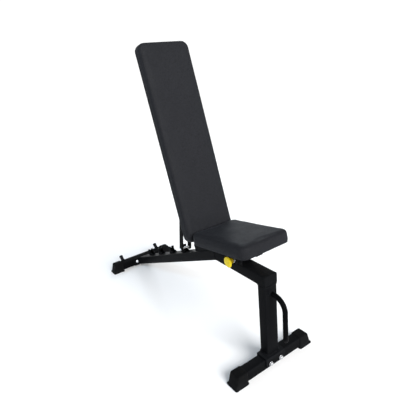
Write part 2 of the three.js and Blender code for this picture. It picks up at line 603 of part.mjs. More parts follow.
function popBarrel() {
  const hex = new THREE.CylinderGeometry(POP.hex, POP.hex, POP.hexHeight, 6);
  const body = bar(0, 0, POP.barrel, -barrelEnd, -hexInner - 1);
  const thread = bar(0, 0, POP.thread, -hexInner - 1, -yokeInner - GAP);
  const chamber = bar(0, 0, POP.chamber, -chamberOuter, -chamberInner);
  const bore = bar(0, 0, POP.shank + RUN, -barrelEnd - 1, 1 - yokeInner);
  const outside = join(hex.translate(0, -(hexInner + hexOuter) / 2, 0), body, thread);
  popPiece('pop_pin_barrel', cut(outside, chamber, bore), ZINC);
}

function popPlunger() {
  const [r, tail] = [POP.shank, 5 - knobFace];
  const nose = yokeInner + GAP;
  const collar = chamberInner + GAP;
  popPiece('pop_pin_plunger', turned([[0, tail], [r, tail], [r, -collar - 2], [POP.collar, -collar - 2],
    [POP.collar, -collar], [r, -collar], [r, -nose - 2], [r - 1, -nose], [0, -nose]]), ZINC);
}

function popKnob() {
  const [face, rim, neck] = [-knobFace, POP.discRadius, POP.neck];
  const discInner = face + POP.disc;
  const [mouth, floor] = [-hexOuter - 1, -barrelEnd - 2.5];
  const room = POP.barrel + 0.8;
  popPiece('pop_pin_knob', turned([[0, face], [rim - 4, face], [rim - 1, face + 1], [rim, face + 3],
    [rim, discInner - 2], [rim - 1.5, discInner], [neck + 1, discInner + 1], [neck, discInner + 3],
    [neck, mouth], [room, mouth], [room, floor], [POP.shank + GAP, floor], [POP.shank + GAP, face + 4],
    [0, face + 4]]), YELLOW_PLASTIC);
}

class SpringLine extends THREE.Curve {
  getPoint(t) {
    const radius = (POP.shank + POP.chamber) / 2;
    const turn = 2 * Math.PI * SPRING.coils * t;
    const from = chamberInner + GAP + 2 + GAP + SPRING.wire;
    const to = chamberOuter - GAP - SPRING.wire;
    return new THREE.Vector3(radius * Math.cos(turn), -from - (to - from) * t, radius * Math.sin(turn));
  }
}

function popSpring() {
  const wire = new THREE.Shape().absarc(0, 0, SPRING.wire, 0, 2 * Math.PI);
  const steps = SPRING.coils * 9;
  const coil = new THREE.ExtrudeGeometry(wire, { steps, curveSegments: 3, extrudePath: new SpringLine() });
  popPiece('pop_pin_spring', coil, ZINC);
}
popBarrel();
popPlunger();
popKnob();
popSpring();

// ---------------------------------------------------------------- strut
// Two flat legs with a brace between them, from the pivot at the origin down to the foot pin.
function strutFrame() {
  const radius = STRUT.width / 2;
  const outline = new THREE.Shape();
  outline.absarc(0, 0, radius, 0, Math.PI);
  outline.absarc(0, -strutLength, radius, Math.PI, 2 * Math.PI);
  const inside = strutInner + 1;
  const left = profile(outline, strutInner, strutOuter, 8);
  const right = profile(outline, -strutOuter, -strutInner, 8);
  const brace = bar(0, -STRUT.braceAt * strutLength, STRUT.brace / 2, -inside, inside);
  const pivotBore = bar(0, 0, BOLT_M12.shank + RUN, -strutOuter - 1, strutOuter + 1);
  const footBore = bar(0, -strutLength, FOOT_PIN.radius + GAP, -strutOuter - 1, strutOuter + 1);
  piece('strut_fork', cut(join(left, right, brace), pivotBore, footBore), BLACK_PAINT, strut);
  const half = strutOuter + FOOT_PIN.proud;
  piece('strut_foot_pin', bar(0, -strutLength, FOOT_PIN.radius, -half, half), ZINC, strut);
  pivotBolt('strut_pivot', 0, 0, strutOuter, strut);
}
strutFrame();

// ---------------------------------------------------------------- origin
// The bench stands with its origin on the floor, under the middle of its own box.
bench.updateMatrixWorld(true);
const bounds = new THREE.Box3().setFromObject(bench, true);
bench.position.x = -(bounds.min.x + bounds.max.x) / 2;

export default bench;
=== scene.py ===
"""The looks of an adjustable weight bench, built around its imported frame.

Metres, with +X to the seat's front and +Z up."""
import json
import math

import bmesh
import bpy
import numpy as np
from mathutils import Matrix, Vector


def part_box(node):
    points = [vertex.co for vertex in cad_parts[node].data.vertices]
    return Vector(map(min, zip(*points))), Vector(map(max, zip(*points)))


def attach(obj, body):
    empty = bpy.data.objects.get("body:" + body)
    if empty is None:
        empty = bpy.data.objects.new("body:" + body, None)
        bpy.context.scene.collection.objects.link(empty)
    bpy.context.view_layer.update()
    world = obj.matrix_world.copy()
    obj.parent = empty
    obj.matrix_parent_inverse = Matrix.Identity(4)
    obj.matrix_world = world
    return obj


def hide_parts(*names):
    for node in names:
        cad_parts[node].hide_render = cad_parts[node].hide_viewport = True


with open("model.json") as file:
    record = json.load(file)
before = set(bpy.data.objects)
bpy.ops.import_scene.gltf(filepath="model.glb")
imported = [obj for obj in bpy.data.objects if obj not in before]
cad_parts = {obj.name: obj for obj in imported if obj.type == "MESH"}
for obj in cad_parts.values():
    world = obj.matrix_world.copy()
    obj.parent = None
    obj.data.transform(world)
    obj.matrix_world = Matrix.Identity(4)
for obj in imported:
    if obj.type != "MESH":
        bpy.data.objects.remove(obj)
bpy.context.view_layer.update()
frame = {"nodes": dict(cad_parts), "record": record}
RECORD = frame["record"]
JOINTS = {joint["name"]: joint for joint in RECORD["behaviour"]["joints"]}
BODY_OF = {node: body for body, nodes in RECORD["behaviour"]["bodies"].items() for node in nodes}
SLOT_OF = {part["node"]: part["material_slot"] for part in RECORD["subparts"]}
KNOB_DISC = 0.0105  # the depth of the pull knob's disc, in front of its neck
TURN = 2 * math.pi


# ---------------------------------------------------------------- places
def corners(node):
    """The lowest and the highest corner of a CAD node's box."""
    low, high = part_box(node)
    return np.array(low), np.array(high)


def middle(node):
    """The centre of a CAD node's box."""
    low, high = corners(node)
    return (low + high) / 2


def size(node):
    """The three sides of a CAD node's box."""
    low, high = corners(node)
    return high - low


class Place:
    """A turned local frame: its origin in the bench's middle plane, turned about Y by an angle."""

    def __init__(self, x, z, angle):
        c, s = math.cos(angle), math.sin(angle)
        self.origin = np.array([x, 0.0, z])
        self.turn = np.array([[c, 0, s], [0, 1, 0], [-s, 0, c]])
        self.angle = angle

    def out(self, points):
        """Local points in the bench's frame."""
        return np.asarray(points, float) @ self.turn.T + self.origin

    def inside(self, points):
        """The bench's points in the local frame."""
        return (np.asarray(points, float) - self.origin) @ self.turn

    def box(self, node):
        """A CAD node's lowest and highest corner in the local frame."""
        mesh = frame["nodes"][node].data
        points = np.empty(len(mesh.vertices) * 3)
        mesh.vertices.foreach_get("co", points)
        local = self.inside(points.reshape(-1, 3))
        return local.min(axis=0), local.max(axis=0)


def hinge_place(joint, angle):
    """A frame at a joint's axis, turned by an angle."""
    x, _, z = JOINTS[joint]["pos_m"]
    return Place(x, z, angle)


RAISED = math.radians(JOINTS["back_recline"]["range_deg"][1])
TILTED = math.radians(-JOINTS["seat_tilt"]["range_deg"][0])
WORLD = Place(0, 0, 0)
STOPS = 5
BACK = hinge_place("back_recline", RAISED)
SEAT = hinge_place("seat_tilt", -TILTED)

BEAM_LOW, BEAM_HIGH = corners("main_beam")
RAIL_LOW = corners("rear_rail")[0]
FLANGE_HIGH = corners("rail_flange")[1]
BEAM_TOP = BEAM_HIGH[2]
FRONT_X = middle("front_foot_tube")[0]
BEND_BEHIND_POST = 0.327
BEND_X = FRONT_X - BEND_BEHIND_POST
RAIL_ANGLE = math.atan2(BEAM_TOP - FLANGE_HIGH[2], BEND_X - FLANGE_HIGH[0])
RAIL = Place(BEND_X, BEAM_TOP, -RAIL_ANGLE)

BACK_SPREADERS = ("back_spreader_lower", "back_spreader_upper")
SEAT_SPREADERS = ("seat_spreader_rear", "seat_spreader_front")

STRUT_PIVOT = np.array(JOINTS["strut_swing"]["pos_m"])
STRUT_FOOT = middle("strut_foot_pin")
STRUT_LINE = STRUT_FOOT - STRUT_PIVOT
STRUT = Place(STRUT_PIVOT[0], STRUT_PIVOT[2], math.atan2(-STRUT_LINE[0], -STRUT_LINE[2]))
STRUT_LENGTH = float(np.hypot(STRUT_LINE[0], STRUT_LINE[2]))


# ---------------------------------------------------------------- materials
class Finish:
    """A node material on Object coordinates, with short calls for the nodes used here."""

    def __init__(self, name, turn=0.0):
        self.material = bpy.data.materials.new(name)
        self.material.use_nodes = True
        self.tree = self.material.node_tree
        self.tree.nodes.clear()
        output = self.add("ShaderNodeOutputMaterial")
        self.shader = self.add("ShaderNodeBsdfPrincipled")
        self.tree.links.new(self.shader.outputs["BSDF"], output.inputs["Surface"])
        coordinates = self.add("ShaderNodeTexCoord")
        mapping = self.add("ShaderNodeMapping")
        mapping.inputs["Rotation"].default_value = (0, turn, 0)
        self.tree.links.new(coordinates.outputs["Object"], mapping.inputs["Vector"])
        self.place = mapping.outputs["Vector"]

    def add(self, kind, **values):
        """A new node with its settings."""
        node = self.tree.nodes.new(kind)
        for key, value in values.items():
            setattr(node, key, value)
        return node

    def put(self, node, **values):
        """Sets a node's sockets: a node output is linked, anything else is a plain value."""
        for key, value in values.items():
            socket = node.inputs[key.replace("_", " ")]
            if isinstance(value, bpy.types.NodeSocket):
                self.tree.links.new(value, socket)
            else:
                socket.default_value = value
        return node

    def noise(self, scale, detail=3.0, roughness=0.55, stretch=None):
        """A cloudy value, finer as the scale grows."""
        place = self.place
        if stretch:
            place = self.put(self.add("ShaderNodeMapping"), Vector=place, Scale=stretch).outputs["Vector"]
        node = self.add("ShaderNodeTexNoise")
        self.put(node, Vector=place, Scale=scale, Detail=detail, Roughness=roughness)
        return node.outputs["Fac"]

    def cells(self, scale, feature="SMOOTH_F1", place=None):
        """The distance to the nearest of many scattered points."""
        node = self.add("ShaderNodeTexVoronoi", feature=feature)
        self.put(node, Vector=place or self.place, Scale=scale)
        return node.outputs["Distance"]

    def spread(self, value, low, high, start=0.3, end=0.7):
        """A value's stretch from start to end carried onto low to high."""
        node = self.add("ShaderNodeMapRange")
        self.put(node, Value=value, From_Min=start, From_Max=end, To_Min=low, To_Max=high)
        return node.outputs["Result"]

    def ramp(self, value, *stops):
        """Colours along a value: each stop is (place, colour)."""
        node = self.put(self.add("ShaderNodeValToRGB"), Fac=value)
        ramp = node.color_ramp
        for index, (place, color) in enumerate(stops):
            element = ramp.elements[index] if index < 2 else ramp.elements.new(place)
            element.position = place
            element.color = (*color, 1)
        return node.outputs["Color"]

    def sums(self, first, second, share):
        """first plus share times second."""
        scaled = self.add("ShaderNodeMath", operation="MULTIPLY")
        self.tree.links.new(second, scaled.inputs[0])
        scaled.inputs[1].default_value = share
        total = self.add("ShaderNodeMath", operation="ADD")
        self.tree.links.new(first, total.inputs[0])
        self.tree.links.new(scaled.outputs[0], total.inputs[1])
        return total.outputs[0]

    def mix(self, amount, first, second):
        """The first colour at 0 and the second at 1."""
        node = self.add("ShaderNodeMix", data_type="RGBA")
        for socket, value in ((0, amount), (6, first), (7, second)):
            if isinstance(value, bpy.types.NodeSocket):
                self.tree.links.new(value, node.inputs[socket])
            else:
                node.inputs[socket].default_value = value if socket == 0 else (*value, 1)
        return node.outputs[2]

    def edges(self, low, high):
        """1 on worn convex edges and 0 elsewhere."""
        pointiness = self.add("ShaderNodeNewGeometry").outputs["Pointiness"]
        return self.spread(pointiness, 0.0, 1.0, low, high)

    def relief(self, height, distance, strength=1.0):
        """Bump of a height map, in metres."""
        node = self.put(self.add("ShaderNodeBump"), Height=height, Distance=distance, Strength=strength)
        self.put(self.shader, Normal=node.outputs["Normal"])

    def look(self, **values):
        """Sets the shader's sockets and gives back the material."""
        self.put(self.shader, **values)
        return self.material


def powder_coat():
    """Semi-gloss black powder coat: fine orange peel, slow changes of gloss, and edges a little rubbed."""
    finish = Finish("black_powder_coat")
    peel = finish.sums(finish.noise(520, 2.0), finish.noise(1500, 1.0), 0.35)
    finish.relief(peel, 0.00022, 0.55)
    cloud = finish.noise(9, 4.0)
    rub = finish.edges(0.53, 0.62)
    base = finish.mix(cloud, (0.0016, 0.0017, 0.0019), (0.0025, 0.0026, 0.0030))
    color = finish.mix(rub, base, (0.014, 0.015, 0.017))
    gloss = finish.spread(finish.noise(34, 5.0), 0.31, 0.43)
    return finish.look(Base_Color=color, Roughness=gloss, Specular_IOR_Level=0.014)


def artificial_leather(name, turn):
    """Black artificial leather: a pebbled grain of rounded cells, pores between them and soft creases;
    painted shade darkens the pores.
    """
    finish = Finish(name, turn)
    bend = finish.noise(160, 2.0)
    warped = finish.add("ShaderNodeVectorMath", operation="MULTIPLY_ADD")
    spread = finish.add("ShaderNodeCombineXYZ")
    for axis in "XYZ":
        finish.put(spread, **{axis: bend})
    finish.tree.links.new(spread.outputs["Vector"], warped.inputs[0])
    warped.inputs[1].default_value = (0.0016, 0.0016, 0.0016)
    finish.tree.links.new(finish.place, warped.inputs[2])
    pebbles = finish.cells(620, "F1", warped.outputs["Vector"])
    fine = finish.cells(1450, "F1", warped.outputs["Vector"])
    creases = finish.noise(26, 6.0, 0.62, stretch=(1.0, 1.6, 1.0))
    height = finish.sums(finish.sums(creases, pebbles, -0.55), fine, -0.25)
    finish.relief(height, 0.00042, 0.6)
    pores = finish.spread(pebbles, 0.0, 1.0, 0.35, 0.75)
    tone = finish.mix(finish.noise(6, 4.0), (0.0150, 0.0156, 0.0182), (0.0205, 0.0213, 0.0245))
    # painted shade: the colour darkens in the pores, the valleys between the pebbles, which are also rougher
    color = finish.mix(pores, tone, (0.0080, 0.0083, 0.0096))
    gloss = finish.sums(finish.spread(finish.noise(14, 5.0), 0.40, 0.50), pores, 0.12)
    return finish.look(Base_Color=color, Roughness=gloss, Specular_IOR_Level=0.03, Sheen_Weight=0.02,
                       Sheen_Roughness=0.4, Sheen_Tint=(0.75, 0.85, 1.0, 1.0))


def moulded_rubber():
    """Matt black rubber: a fine sanded mould texture, faint flow marks, and a lighter tone towards the floor.
    """
    finish = Finish("moulded_rubber")
    grain = finish.sums(finish.noise(900, 2.0), finish.noise(90, 4.0), 0.5)
    finish.relief(grain, 0.0003, 0.5)
    height = finish.put(finish.add("ShaderNodeSeparateXYZ"), Vector=finish.place).outputs["Z"]
    # the colour turns lighter towards the floor, below about 42 mm
    lighter_near_floor = finish.spread(finish.sums(height, finish.noise(30, 4.0), 0.03), 1.0, 0.0, 0.012, 0.042)
    tone = finish.mix(finish.noise(22, 5.0), (0.0028, 0.0029, 0.0031), (0.0046, 0.0047, 0.0051))
    color = finish.mix(lighter_near_floor, tone, (0.0075, 0.0077, 0.0083))
    gloss = finish.spread(finish.noise(60, 3.0), 0.52, 0.68)
    return finish.look(Base_Color=color, Roughness=gloss, Specular_IOR_Level=0.03)


def moulded_plastic():
    """Satin black plastic with a fine spark-eroded grain."""
    finish = Finish("moulded_black_plastic")
    finish.relief(finish.noise(1300, 2.0), 0.00015, 0.6)
    color = finish.mix(finish.noise(40, 3.0), (0.0036, 0.0036, 0.004), (0.006, 0.006, 0.0065))
    return finish.look(Base_Color=color, Roughness=finish.spread(finish.noise(70), 0.36, 0.5),
                       Specular_IOR_Level=0.06)


def bright_zinc():
    """Bright zinc plate: fine turning marks, milky clouds and darker spots."""
    finish = Finish("bright_zinc")
    marks = finish.noise(2200, 1.0)
    finish.relief(marks, 0.00005, 0.5)
    clouds = finish.noise(260, 4.0)
    color = finish.ramp(clouds, (0.25, (0.50, 0.51, 0.53)), (0.75, (0.80, 0.81, 0.82)))
    return finish.look(Base_Color=color, Metallic=1.0, Roughness=finish.spread(clouds, 0.17, 0.34))


def sintered_bronze():
    """Dull oiled bronze with open pores."""
    finish = Finish("sintered_bronze")
    pores = finish.cells(1500)
    finish.relief(pores, 0.0001, 0.7)
    color = finish.ramp(finish.noise(300, 4.0), (0.3, (0.33, 0.22, 0.09)), (0.7, (0.56, 0.42, 0.2)))
    return finish.look(Base_Color=color, Metallic=1.0, Roughness=finish.spread(pores, 0.32, 0.5, 0.1, 0.6))


def yellow_plastic():
    """Bright yellow plastic: smooth, with faint sink marks, and painted shade that darkens the neck behind
    the disc.
    """
    finish = Finish("yellow_moulded_plastic")
    finish.relief(finish.sums(finish.noise(120, 3.0), finish.noise(1400, 1.0), 0.2), 0.00018, 0.35)
    bright = finish.mix(finish.noise(45, 3.0), (0.74, 0.57, 0.0025), (0.66, 0.49, 0.002))
    disc_back = corners("pop_pin_knob")[0][1] + KNOB_DISC
    depth = finish.put(finish.add("ShaderNodeSeparateXYZ"), Vector=finish.place).outputs["Y"]
    # painted shade: the yellow is darkened on the neck behind the disc, deeper than the disc's back face
    painted_neck_shade = finish.spread(depth, 0.0, 1.0, disc_back, disc_back + 0.004)
    color = finish.mix(painted_neck_shade, bright, (0.22, 0.15, 0.001))
    return finish.look(Base_Color=color, Roughness=finish.spread(finish.noise(200, 3.0), 0.26, 0.36),
                       Specular_IOR_Level=0.2)


def plywood(name, turn):
    """Birch plywood: long grain on the faces, and on the edges thin layers of alternating tone."""
    finish = Finish(name, turn)
    grain = finish.noise(26, 6.0, 0.65, stretch=(0.12, 2.2, 1.0))
    fibres = finish.noise(260, 3.0, 0.6, stretch=(0.04, 1.0, 1.0))
    face = finish.ramp(finish.sums(grain, fibres, 0.25),
                       (0.42, (0.36, 0.235, 0.125)), (0.78, (0.56, 0.40, 0.235)))
    layers = finish.add("ShaderNodeTexWave", wave_type="BANDS", bands_direction="Z", wave_profile="SIN")
    finish.put(layers, Vector=finish.place, Scale=105.0, Distortion=0.6, Detail=2.0)
    color = finish.mix(finish.spread(layers.outputs["Fac"], 0.0, 0.55, 0.4, 0.6), face, (0.22, 0.13, 0.065))
    finish.relief(fibres, 0.0002, 0.5)
    return finish.look(Base_Color=color, Roughness=finish.spread(grain, 0.55, 0.72))


PAINT = powder_coat()
BACK_LEATHER = artificial_leather("back_leather", -RAISED)
SEAT_LEATHER = artificial_leather("seat_leather", TILTED)
RUBBER = moulded_rubber()
PLASTIC = moulded_plastic()
ZINC = bright_zinc()
BRONZE = sintered_bronze()
YELLOW = yellow_plastic()
BACK_PLY = plywood("back_plywood", -RAISED)
SEAT_PLY = plywood("seat_plywood", TILTED)
LOOK_OF_SLOT = {"black_paint": PAINT, "black_rubber": RUBBER, "black_plastic": PLASTIC, "zinc": ZINC,
                "yellow_plastic": YELLOW, "bronze": BRONZE, "black_leather": BACK_LEATHER,
                "plywood": BACK_PLY}


# ---------------------------------------------------------------- surfaces
def surface(points, around=False, ring=False):
    """Vertices and quads of a grid of points (rows, columns, 3). around joins the last column to the
    first, and ring joins the last row to the first."""
    rows, columns = points.shape[:2]
    r = np.arange(rows if ring else rows - 1)[:, None]
    c = np.arange(columns if around else columns - 1)[None, :]
    r1, c1 = (r + 1) % rows, (c + 1) % columns
    quads = np.stack([r * columns + c, r * columns + c1, r1 * columns + c1, r1 * columns + c], axis=-1)
    return points.reshape(-1, 3), quads.reshape(-1, 4)


def tidy(mesh, sharp=35.0):
    """Closes seams and poles, turns the faces outwards and keeps edges over an angle crisp."""
    work = bmesh.new()
    work.from_mesh(mesh)
    bmesh.ops.remove_doubles(work, verts=work.verts, dist=2e-6)
    bmesh.ops.dissolve_degenerate(work, edges=work.edges, dist=1e-6)
    bmesh.ops.recalc_face_normals(work, faces=work.faces)
    work.to_mesh(mesh)
    work.free()
    mesh.shade_smooth()
    mesh.set_sharp_from_angle(angle=math.radians(sharp))


def made(name, parts, material, body, nodes=(), sharp=35.0):
    """One piece from a list of (vertices, faces), riding on a body and standing for CAD nodes."""
    vertices, faces, count = [], [], 0
    for points, polygons in parts:
        vertices.append(np.asarray(points, float))
        faces += [[int(index) + count for index in polygon] for polygon in polygons]
        count += len(points)
    mesh = bpy.data.meshes.new(name)
    mesh.from_pydata(np.concatenate(vertices).tolist(), [], faces)
    tidy(mesh, sharp)
    piece = bpy.data.objects.new(name, mesh)
    bpy.context.scene.collection.objects.link(piece)
    mesh.materials.append(material)
    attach(piece, body)
    if nodes:
        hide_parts(*nodes)
    return piece


def axes_for(direction):
    """Two unit vectors at right angles to a direction and to each other."""
    direction = np.asarray(direction, float) / np.linalg.norm(direction)
    helper = np.array([0.0, 0, 1]) if abs(direction[2]) < 0.9 else np.array([1.0, 0, 0])
    first = np.cross(helper, direction)
    first /= np.linalg.norm(first)
    return direction, first, np.cross(direction, first)


def turned(outline, centre, direction, segments=48, wave=None):
    """A turned surface: at distance d along the axis its radius is r, for each (r, d) of the outline.
    wave(angle, d) scales the radius round the axis."""
    outline = np.asarray(outline, float)
    along, first, second = axes_for(direction)
    angle = np.arange(segments) / segments * TURN
    radius = outline[:, 0][:, None] * np.ones(segments)
    if wave:
        radius = radius * wave(angle[None, :], outline[:, 1][:, None])
    circle = np.cos(angle)[:, None] * first + np.sin(angle)[:, None] * second
    points = centre + outline[:, 1][:, None, None] * along + radius[..., None] * circle[None]
    return surface(points, around=True)


def rounded(outline, radius, steps=5):
    """An outline with its inner corners replaced by arcs of a radius (smaller where a side is short)."""
    outline = np.asarray(outline, float)
    points = [outline[0]]
    for before, corner, after in zip(outline, outline[1:], outline[2:]):
        to_before, to_after = before - corner, after - corner
        lengths = np.linalg.norm(to_before), np.linalg.norm(to_after)
        cut = min(radius, 0.45 * min(lengths))
        start, end = corner + to_before / lengths[0] * cut, corner + to_after / lengths[1] * cut
        t = np.linspace(0, 1, steps)[:, None]
        points.extend((1 - t) ** 2 * start + 2 * t * (1 - t) * corner + t ** 2 * end)
    points.append(outline[-1])
    return np.array(points)


def hexagon(across, height, centre, direction, chamfered=(False, True)):
    """A hexagonal prism along a direction. At a chamfered end the corners fall away under a cone of 30
    degrees that starts at 0.95 of the flats' inner circle."""
    along, first, second = axes_for(direction)
    angle = np.arange(60) / 60 * TURN
    flat = across / 2
    reach = flat / np.cos((angle + math.pi / 6) % (math.pi / 3) - math.pi / 6)
    inner = np.full_like(angle, 0.95 * flat)
    drop = (reach - inner) * math.tan(math.radians(30))
    low = drop if chamfered[0] else np.zeros_like(drop)
    high = height - (drop if chamfered[1] else 0)
    rows = [(np.zeros_like(angle), np.zeros_like(angle)), (inner, np.zeros_like(angle)), (reach, low),
            (reach, np.full_like(angle, 1.0) * high), (inner, np.full_like(angle, height)),
            (np.zeros_like(angle), np.full_like(angle, height))]
    radius = np.array([row[0] for row in rows])
    level = np.array([row[1] for row in rows])
    circle = np.cos(angle)[:, None] * first + np.sin(angle)[:, None] * second
    return surface(centre + level[..., None] * along + radius[..., None] * circle[None], around=True)


def washer(inner, outer, thickness, centre, direction):
    """A flat ring with broken edges."""
    e = 0.0003
    outline = [(inner, 0), (outer - e, 0), (outer, e), (outer, thickness - e), (outer - e, thickness),
               (inner, thickness), (inner, 0)]
    return turned(outline, centre, direction)


def thread(radius, start, end, centre, direction, pitch=0.0015):
    """A threaded end: the radius swings by 0.3 of the pitch once a turn's pitch, and the tip is broken."""
    steps = np.arange(start, end - pitch / 2, pitch / 2)
    depth = 0.3 * pitch
    rows = [(0, start)] + [(radius - depth * (index % 2), d) for index, d in enumerate(steps)]
    rows += [(radius - depth, end - 0.0003), (radius - 2.5 * depth, end), (0, end)]
    return turned(rows, centre, direction, 32)


def swept(path, radius, sides=12, closed=False, ripple=0.0, pitch=0.0024):
    """A round bead along a path. Its radius swells by the ripple once each pitch of the path's length,
    as the scales of a weld do. An open bead narrows to a point at both ends."""
    path = np.asarray(path, float)
    after, before = np.roll(path, -1, axis=0), np.roll(path, 1, axis=0)
    tangent = after - before
    if not closed:
        tangent[0], tangent[-1] = path[1] - path[0], path[-1] - path[-2]
    tangent /= np.linalg.norm(tangent, axis=1)[:, None]
    steps = np.linalg.norm(np.diff(path, axis=0), axis=1)
    along = np.concatenate([[0], np.cumsum(steps)])
    side = np.cross(tangent, [0.31, 0.17, 0.93])
    side /= np.linalg.norm(side, axis=1)[:, None]
    other = np.cross(tangent, side)
    size_here = radius * (1 + ripple * (np.abs(np.sin(math.pi * along / pitch)) - 0.5))
    if not closed:
        size_here = np.concatenate([[0], size_here[1:-1], [0]])
    angle = np.arange(sides) / sides * TURN
    circle = np.cos(angle)[:, None, None] * side + np.sin(angle)[:, None, None] * other
    points = path[:, None] + size_here[:, None, None] * circle.transpose(1, 0, 2)
    return surface(points, around=True, ring=closed)


def evenly(path, step, closed=False):
    """The points of a path at an even step along it."""
    path = np.asarray(path, float)
    if closed:
        path = np.vstack([path, path[:1]])
    lengths = np.concatenate([[0], np.cumsum(np.linalg.norm(np.diff(path, axis=0), axis=1))])
    count = max(8, int(round(lengths[-1] / step)))
    wanted = np.linspace(0, lengths[-1], count + 1)
    points = np.stack([np.interp(wanted, lengths, path[:, axis]) for axis in range(3)], axis=1)
    return points[:-1] if closed else points


def rounded_rectangle(length, width, radius, steps=10):
    """Points round a rectangle with round corners: four quarter circles joined by straight sides."""
    corners = []
    for quarter, (x, y) in enumerate([(1, 1), (-1, 1), (-1, -1), (1, -1)]):
        angle = math.pi / 2 * (quarter + np.linspace(0, 1, steps))
        corners.append(np.stack([x * (length / 2 - radius) + radius * np.cos(angle),
                                 y * (width / 2 - radius) + radius * np.sin(angle)], axis=1))
    return np.concatenate(corners)


# ---------------------------------------------------------------- steel pieces with broken edges
def dressed(node, edge, material=None):
    """A copy of a CAD node with its triangles merged, its flat faces joined and its edges rounded."""
    mesh = frame["nodes"][node].data.copy()
    mesh.name = node + "_finished"
    work = bmesh.new()
    work.from_mesh(mesh)
    bmesh.ops.remove_doubles(work, verts=work.verts, dist=2e-6)
    bmesh.ops.dissolve_limit(work, angle_limit=math.radians(0.6), verts=work.verts, edges=work.edges)
    bmesh.ops.recalc_face_normals(work, faces=work.faces)
    work.to_mesh(mesh)
    work.free()
    mesh.shade_smooth()
    mesh.set_sharp_from_angle(angle=math.radians(40))
    piece = bpy.data.objects.new(node + "_finished", mesh)
    bpy.context.scene.collection.objects.link(piece)
    mesh.materials.clear()
    mesh.materials.append(material or LOOK_OF_SLOT[SLOT_OF[node]])
    bevel = piece.modifiers.new("broken_edges", "BEVEL")
    bevel.width = edge
    bevel.segments = 2
    bevel.limit_method = "ANGLE"
    bevel.angle_limit = math.radians(40)
    bevel.use_clamp_overlap = True
    bevel.harden_normals = True
    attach(piece, BODY_OF[node])
    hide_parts(node)


STEEL_EDGES = {
    "front_foot_tube": 0.0006, "rear_foot_tube": 0.0006, "front_post": 0.0008, "main_beam": 0.0008,
    "rear_rail": 0.0008, "beam_end_cap": 0.0012, "post_saddle": 0.0016, "rail_flange": 0.0010,
    "pivot_bracket_left": 0.0008, "pivot_bracket_right": 0.0008, "index_plate": 0.0008,
    "back_tube": 0.0006, "back_spreader_lower": 0.0006, "back_spreader_upper": 0.0006,
    "seat_tube": 0.0006, "seat_spreader_rear": 0.0006, "seat_spreader_front": 0.0006,
    "seat_yoke": 0.0008, "strut_fork": 0.0009, "back_tube_plug": 0.0008,
    "back_pivot_bush": 0.0003, "seat_pivot_bush": 0.0003,
}
for steel_node, steel_edge in STEEL_EDGES.items():
    dressed(steel_node, steel_edge)
for stop in range(1, STOPS + 1):
    dressed(f"ladder_stop_{stop}", 0.0009)
dressed("back_board", 0.0006, BACK_PLY)
dressed("seat_board", 0.0006, SEAT_PLY)


# ---------------------------------------------------------------- rubber boots
def boot(node, side):
    """A rubber boot, as rounded rectangles stacked from the floor up. The lip at the floor flares out,
    the sides lean in, the outer end leans in further, and the top edge rounds over."""
    low, high = corners(node)
    inner, outer = (low[1], high[1]) if side > 0 else (high[1], low[1])
    base_width, length, tall = high[0] - low[0], abs(outer - inner), high[2] - low[2]
    rake, top_width, lip = 0.019, 0.0565, 0.0045
    levels = [(0.0, 0.0018), (0.0012, 0.0004), (0.003, 0.0), (0.0062, 0.0), (0.0078, 0.0008),
              (0.0088, lip * 0.75), (0.0102, lip), (0.02, lip), (0.03, lip), (0.04, lip), (0.05, lip),
              (tall - 0.0058, lip), (tall - 0.0036, lip + 0.0006), (tall - 0.0016, lip + 0.0018),
              (tall - 0.0004, lip + 0.0036), (tall, lip + 0.006)]
    rows = []
    for z, inset in levels:
        lean = max(0.0, (z - 0.009) / (tall - 0.009))
        half = base_width / 2 - inset - lean * (base_width / 2 - lip - top_width / 2)
        reach = length - inset - lean * (rake - lip)
        start = 0.0 if z < tall - 0.004 else inset - lip
        outline = rounded_rectangle(reach - start, 2 * half, 0.0075, 8)
        rows.append(np.stack([middle(node)[0] + outline[:, 1],
                              inner + side * (start + (reach - start) / 2 + outline[:, 0]),
                              np.full(len(outline), low[2] + z)], axis=1))
    centre_low, centre_high = rows[0].mean(axis=0), rows[-1].mean(axis=0)
    grid = np.array([np.repeat(centre_low[None], len(rows[0]), axis=0), *rows,
                     np.repeat(centre_high[None], len(rows[0]), axis=0)])
    parts = [surface(grid, around=True)]
    for rib in (-1, 0, 1):
        spot = np.array([middle(node)[0], outer - side * (0.006 + lip), low[2] + 0.012])
        line = spot + np.array([[rib * 0.017, 0, 0], [rib * 0.016, -side * (rake - lip) * 0.62, 0.034]])
        parts.append(swept(evenly(line, 0.004), 0.0016, 10))
    made(node + "_moulded", parts, RUBBER, "frame", nodes=[node], sharp=50)


for foot in ("front", "rear"):
    boot(f"{foot}_boot_left", 1)
    boot(f"{foot}_boot_right", -1)


